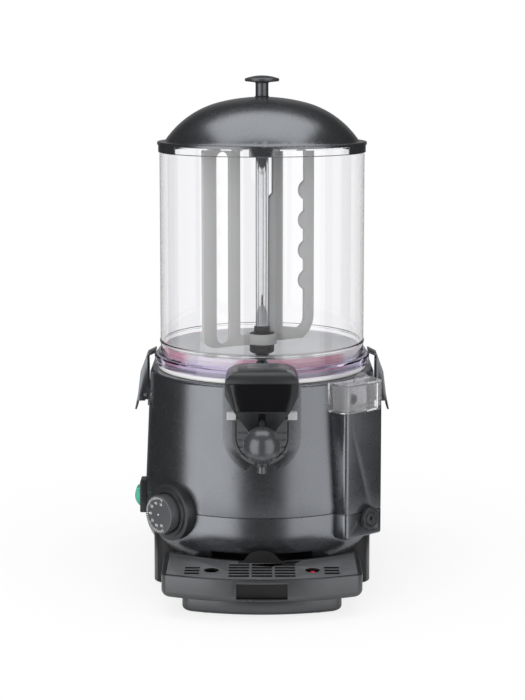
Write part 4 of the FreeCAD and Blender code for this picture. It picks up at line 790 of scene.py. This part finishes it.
class DISPENSER_OT_tray(Dresser, bpy.types.Operator):
    """Drip tray, its grid and the red level float"""
    bl_idname = "dispenser.tray"
    bl_label = "Drip tray"

    def execute(self, context):
        coat = dark_coated_steel(self.colours.dark_coat[:])
        tray = softened("drip_tray", self.sizes.edge, coat, black_and_painted_shade())
        low, high = PULL_Z
        # The pull recess and the tray's floor and ledges under the grid take the black as painted shade.
        for face in tray.data.polygons:
            x, y, z = face.center
            shaded_pull = abs(x) < PULL_HALF and low < z < high and y < PULL_BACK
            face.material_index = int(shaded_pull or face.normal.z > 0.7 and z < WELL_TOP)
        grid = softened("drip_grid", self.sizes.fine_edge, satin_steel(self.colours.grid[:]), black_and_painted_shade())
        # The tab behind the grid and the sides of its bars take the black as painted shade.
        for face in grid.data.polygons:
            shaded_tab = abs(face.center.x) < PULL_HALF and face.center.y > TAB_FRONT
            face.material_index = int(shaded_tab or abs(face.normal.z) < 0.5)
        red = dyed_plastic("red_polypropylene", self.colours.float_red[:])
        softened("tray_float", self.sizes.fine_edge, red)
        return {"FINISHED"}


def softbox(name, place, target, width, height, radiance):
    """A rectangular lamp of an even radiance, hidden from the camera and from rays through clear plastic."""
    light = bpy.data.lights.new(name, "AREA")
    light.shape = "RECTANGLE"
    light.size = width
    light.size_y = height
    light.energy = radiance * math.pi * width * height
    lamp = bpy.data.objects.new(name, light)
    bpy.context.scene.collection.objects.link(lamp)
    lamp.location = place
    lamp.rotation_euler = (Vector(target) - Vector(place)).to_track_quat("-Z", "Y").to_euler()
    lamp.visible_camera = False
    lamp.visible_transmission = False
    return lamp


class DISPENSER_OT_stage(Dresser, bpy.types.Operator):
    """Pale floor, soft studio light and the camera"""
    bl_idname = "dispenser.stage"
    bl_label = "Stage"

    def execute(self, context):
        stage = context.scene.dispenser_stage
        bpy.ops.object.select_all(action="DESELECT")
        bpy.ops.mesh.primitive_circle_add(vertices=96, radius=FLOOR_R, fill_type="TRIFAN")
        floor = settle(context.active_object, "floor")

        def painted(tree):
            path = add(tree, "LightPath").outputs
            place = add(tree, "TexCoord").outputs["Object"]
            away = add(tree, "VectorMath", {"operation": "LENGTH"}, {0: place}).outputs["Value"]
            # Mirrored rays find a small lit table, and past its edge the softboxes and the dim room
            gone = either(tree, smoothed(tree, away, *TABLE_EDGE, 1.0, 0.0), path["Is Glossy Ray"], 0.0)
            matt = add(tree, "BsdfDiffuse", inputs={"Color": self.colours.floor[:]}).outputs["BSDF"]
            glow = add(tree, "Emission", inputs={"Strength": 1.0}).outputs["Emission"]
            # The painted floor turns to the even white of the backdrop away from the object
            share = smoothed(tree, away, 0.15, FLOOR_R * 0.6, 0.8, 1.0)
            direct = maths(tree, "MAXIMUM", path["Is Camera Ray"], path["Is Transmission Ray"])
            seen = maths(tree, "MULTIPLY", direct, share)
            table = add(tree, "MixShader", inputs={0: seen, 1: matt, 2: glow}).outputs["Shader"]
            nothing = add(tree, "BsdfTransparent").outputs["BSDF"]
            return add(tree, "MixShader", inputs={0: gone, 1: table, 2: nothing}).outputs["Shader"]
        floor.data.materials.append(new_material("painted_floor", painted))

        world = bpy.data.worlds.new("studio")
        world.use_nodes = True
        tree = world.node_tree
        tree.nodes.clear()
        path = add(tree, "LightPath").outputs
        direct = maths(tree, "MAXIMUM", path["Is Camera Ray"], path["Is Transmission Ray"])
        first = maths(tree, "LESS_THAN", path["Diffuse Depth"], 0.5)
        way = add(tree, "SeparateXYZ", inputs={0: add(tree, "TexCoord").outputs["Generated"]}).outputs
        # What is mirrored inside the clear bowl shows the white tent, with the dark gaps between its panels
        turned = maths(tree, "GREATER_THAN", path["Glossy Depth"], 0.5)
        azimuth = maths(tree, "ARCTAN2", way["X"], way["Y"])
        gaps = 0.0
        for degrees, half in TENT_GAPS:
            gap = maths(tree, "COMPARE", azimuth, math.radians(degrees), math.radians(half))
            gaps = maths(tree, "MAXIMUM", gaps, gap)
        open_way = maths(tree, "SUBTRACT", 1.0, maths(tree, "MULTIPLY", turned, gaps))
        seen = maths(tree, "MULTIPLY", maths(tree, "MULTIPLY", direct, first), open_way)
        # Mirrored rays see the pale backdrop behind the object and a dim room in front of it
        behind = smoothed(tree, way["Y"], 0.85, 1.0, 0.03, 0.3)
        level = either(tree, path["Is Glossy Ray"], stage.fill, behind)
        strength = either(tree, seen, level, 1.0)
        glow = add(tree, "Background", inputs={"Color": (1, 1, 1, 1), "Strength": strength})
        add(tree, "OutputWorld", inputs={"Surface": glow.outputs["Background"]})
        context.scene.world = world

        middle = Vector((0.0, 0.0, 0.1))
        for name, degrees, radiance in (("strip_left", -45.0, stage.strips),
                                        ("strip_right", 46.0, stage.right)):
            angle = math.radians(degrees)
            place = middle + Vector((math.sin(angle), -math.cos(angle), 0.0)) * STRIP_AWAY
            softbox(name, place, middle, STRIP_WIDTH, STRIP_HEIGHT, radiance)
        softbox("top_box", (0.0, 0.1, 1.9), (0.0, 0.099, 0.5), 2.0, 1.4, stage.top)

        data = bpy.data.cameras.new("camera")
        data.sensor_width = 36.0
        data.lens = stage.lens
        data.shift_y = stage.shift
        camera = bpy.data.objects.new("camera", data)
        context.scene.collection.objects.link(camera)
        camera.location = (CAMERA_X, -stage.distance, stage.height)
        camera.rotation_euler = (math.radians(90) - stage.tilt, 0.0, 0.0)
        context.scene.camera = camera
        context.scene.view_settings.view_transform = "Standard"
        return {"FINISHED"}


OPERATORS = (DISPENSER_OT_body, DISPENSER_OT_underside, DISPENSER_OT_works, DISPENSER_OT_bowl,
             DISPENSER_OT_lid, DISPENSER_OT_stirrer, DISPENSER_OT_tap, DISPENSER_OT_dial,
             DISPENSER_OT_switch, DISPENSER_OT_filler, DISPENSER_OT_latches, DISPENSER_OT_tray,
             DISPENSER_OT_stage)


class DISPENSER_PT_panel(bpy.types.Panel):
    """Lists the colours, sizes and steps"""
    bl_idname = "DISPENSER_PT_panel"
    bl_label = "Drink Dispenser"
    bl_space_type = "VIEW_3D"
    bl_region_type = "UI"
    bl_category = "Dispenser"

    def draw(self, context):
        for group in (context.scene.dispenser_colours, context.scene.dispenser_sizes,
                      context.scene.dispenser_stage):
            box = self.layout.box()
            for name in group.__annotations__:
                box.prop(group, name)
        for operator in OPERATORS:
            self.layout.operator(operator.bl_idname)


GROUPS = {"dispenser_colours": DispenserColours, "dispenser_sizes": DispenserSizes,
          "dispenser_stage": DispenserStage}


def register():
    for cls in (*GROUPS.values(), *OPERATORS, DISPENSER_PT_panel):
        bpy.utils.register_class(cls)
    for name, group in GROUPS.items():
        setattr(bpy.types.Scene, name, PointerProperty(type=group))


def unregister():
    for name in GROUPS:
        delattr(bpy.types.Scene, name)
    for cls in (DISPENSER_PT_panel, *reversed(OPERATORS), *GROUPS.values()):
        bpy.utils.unregister_class(cls)


def main():
    register()
    for operator in OPERATORS:
        step = operator.bl_idname.split(".")[1]
        getattr(bpy.ops.dispenser, step)()


if __name__ == "__main__":
    main()
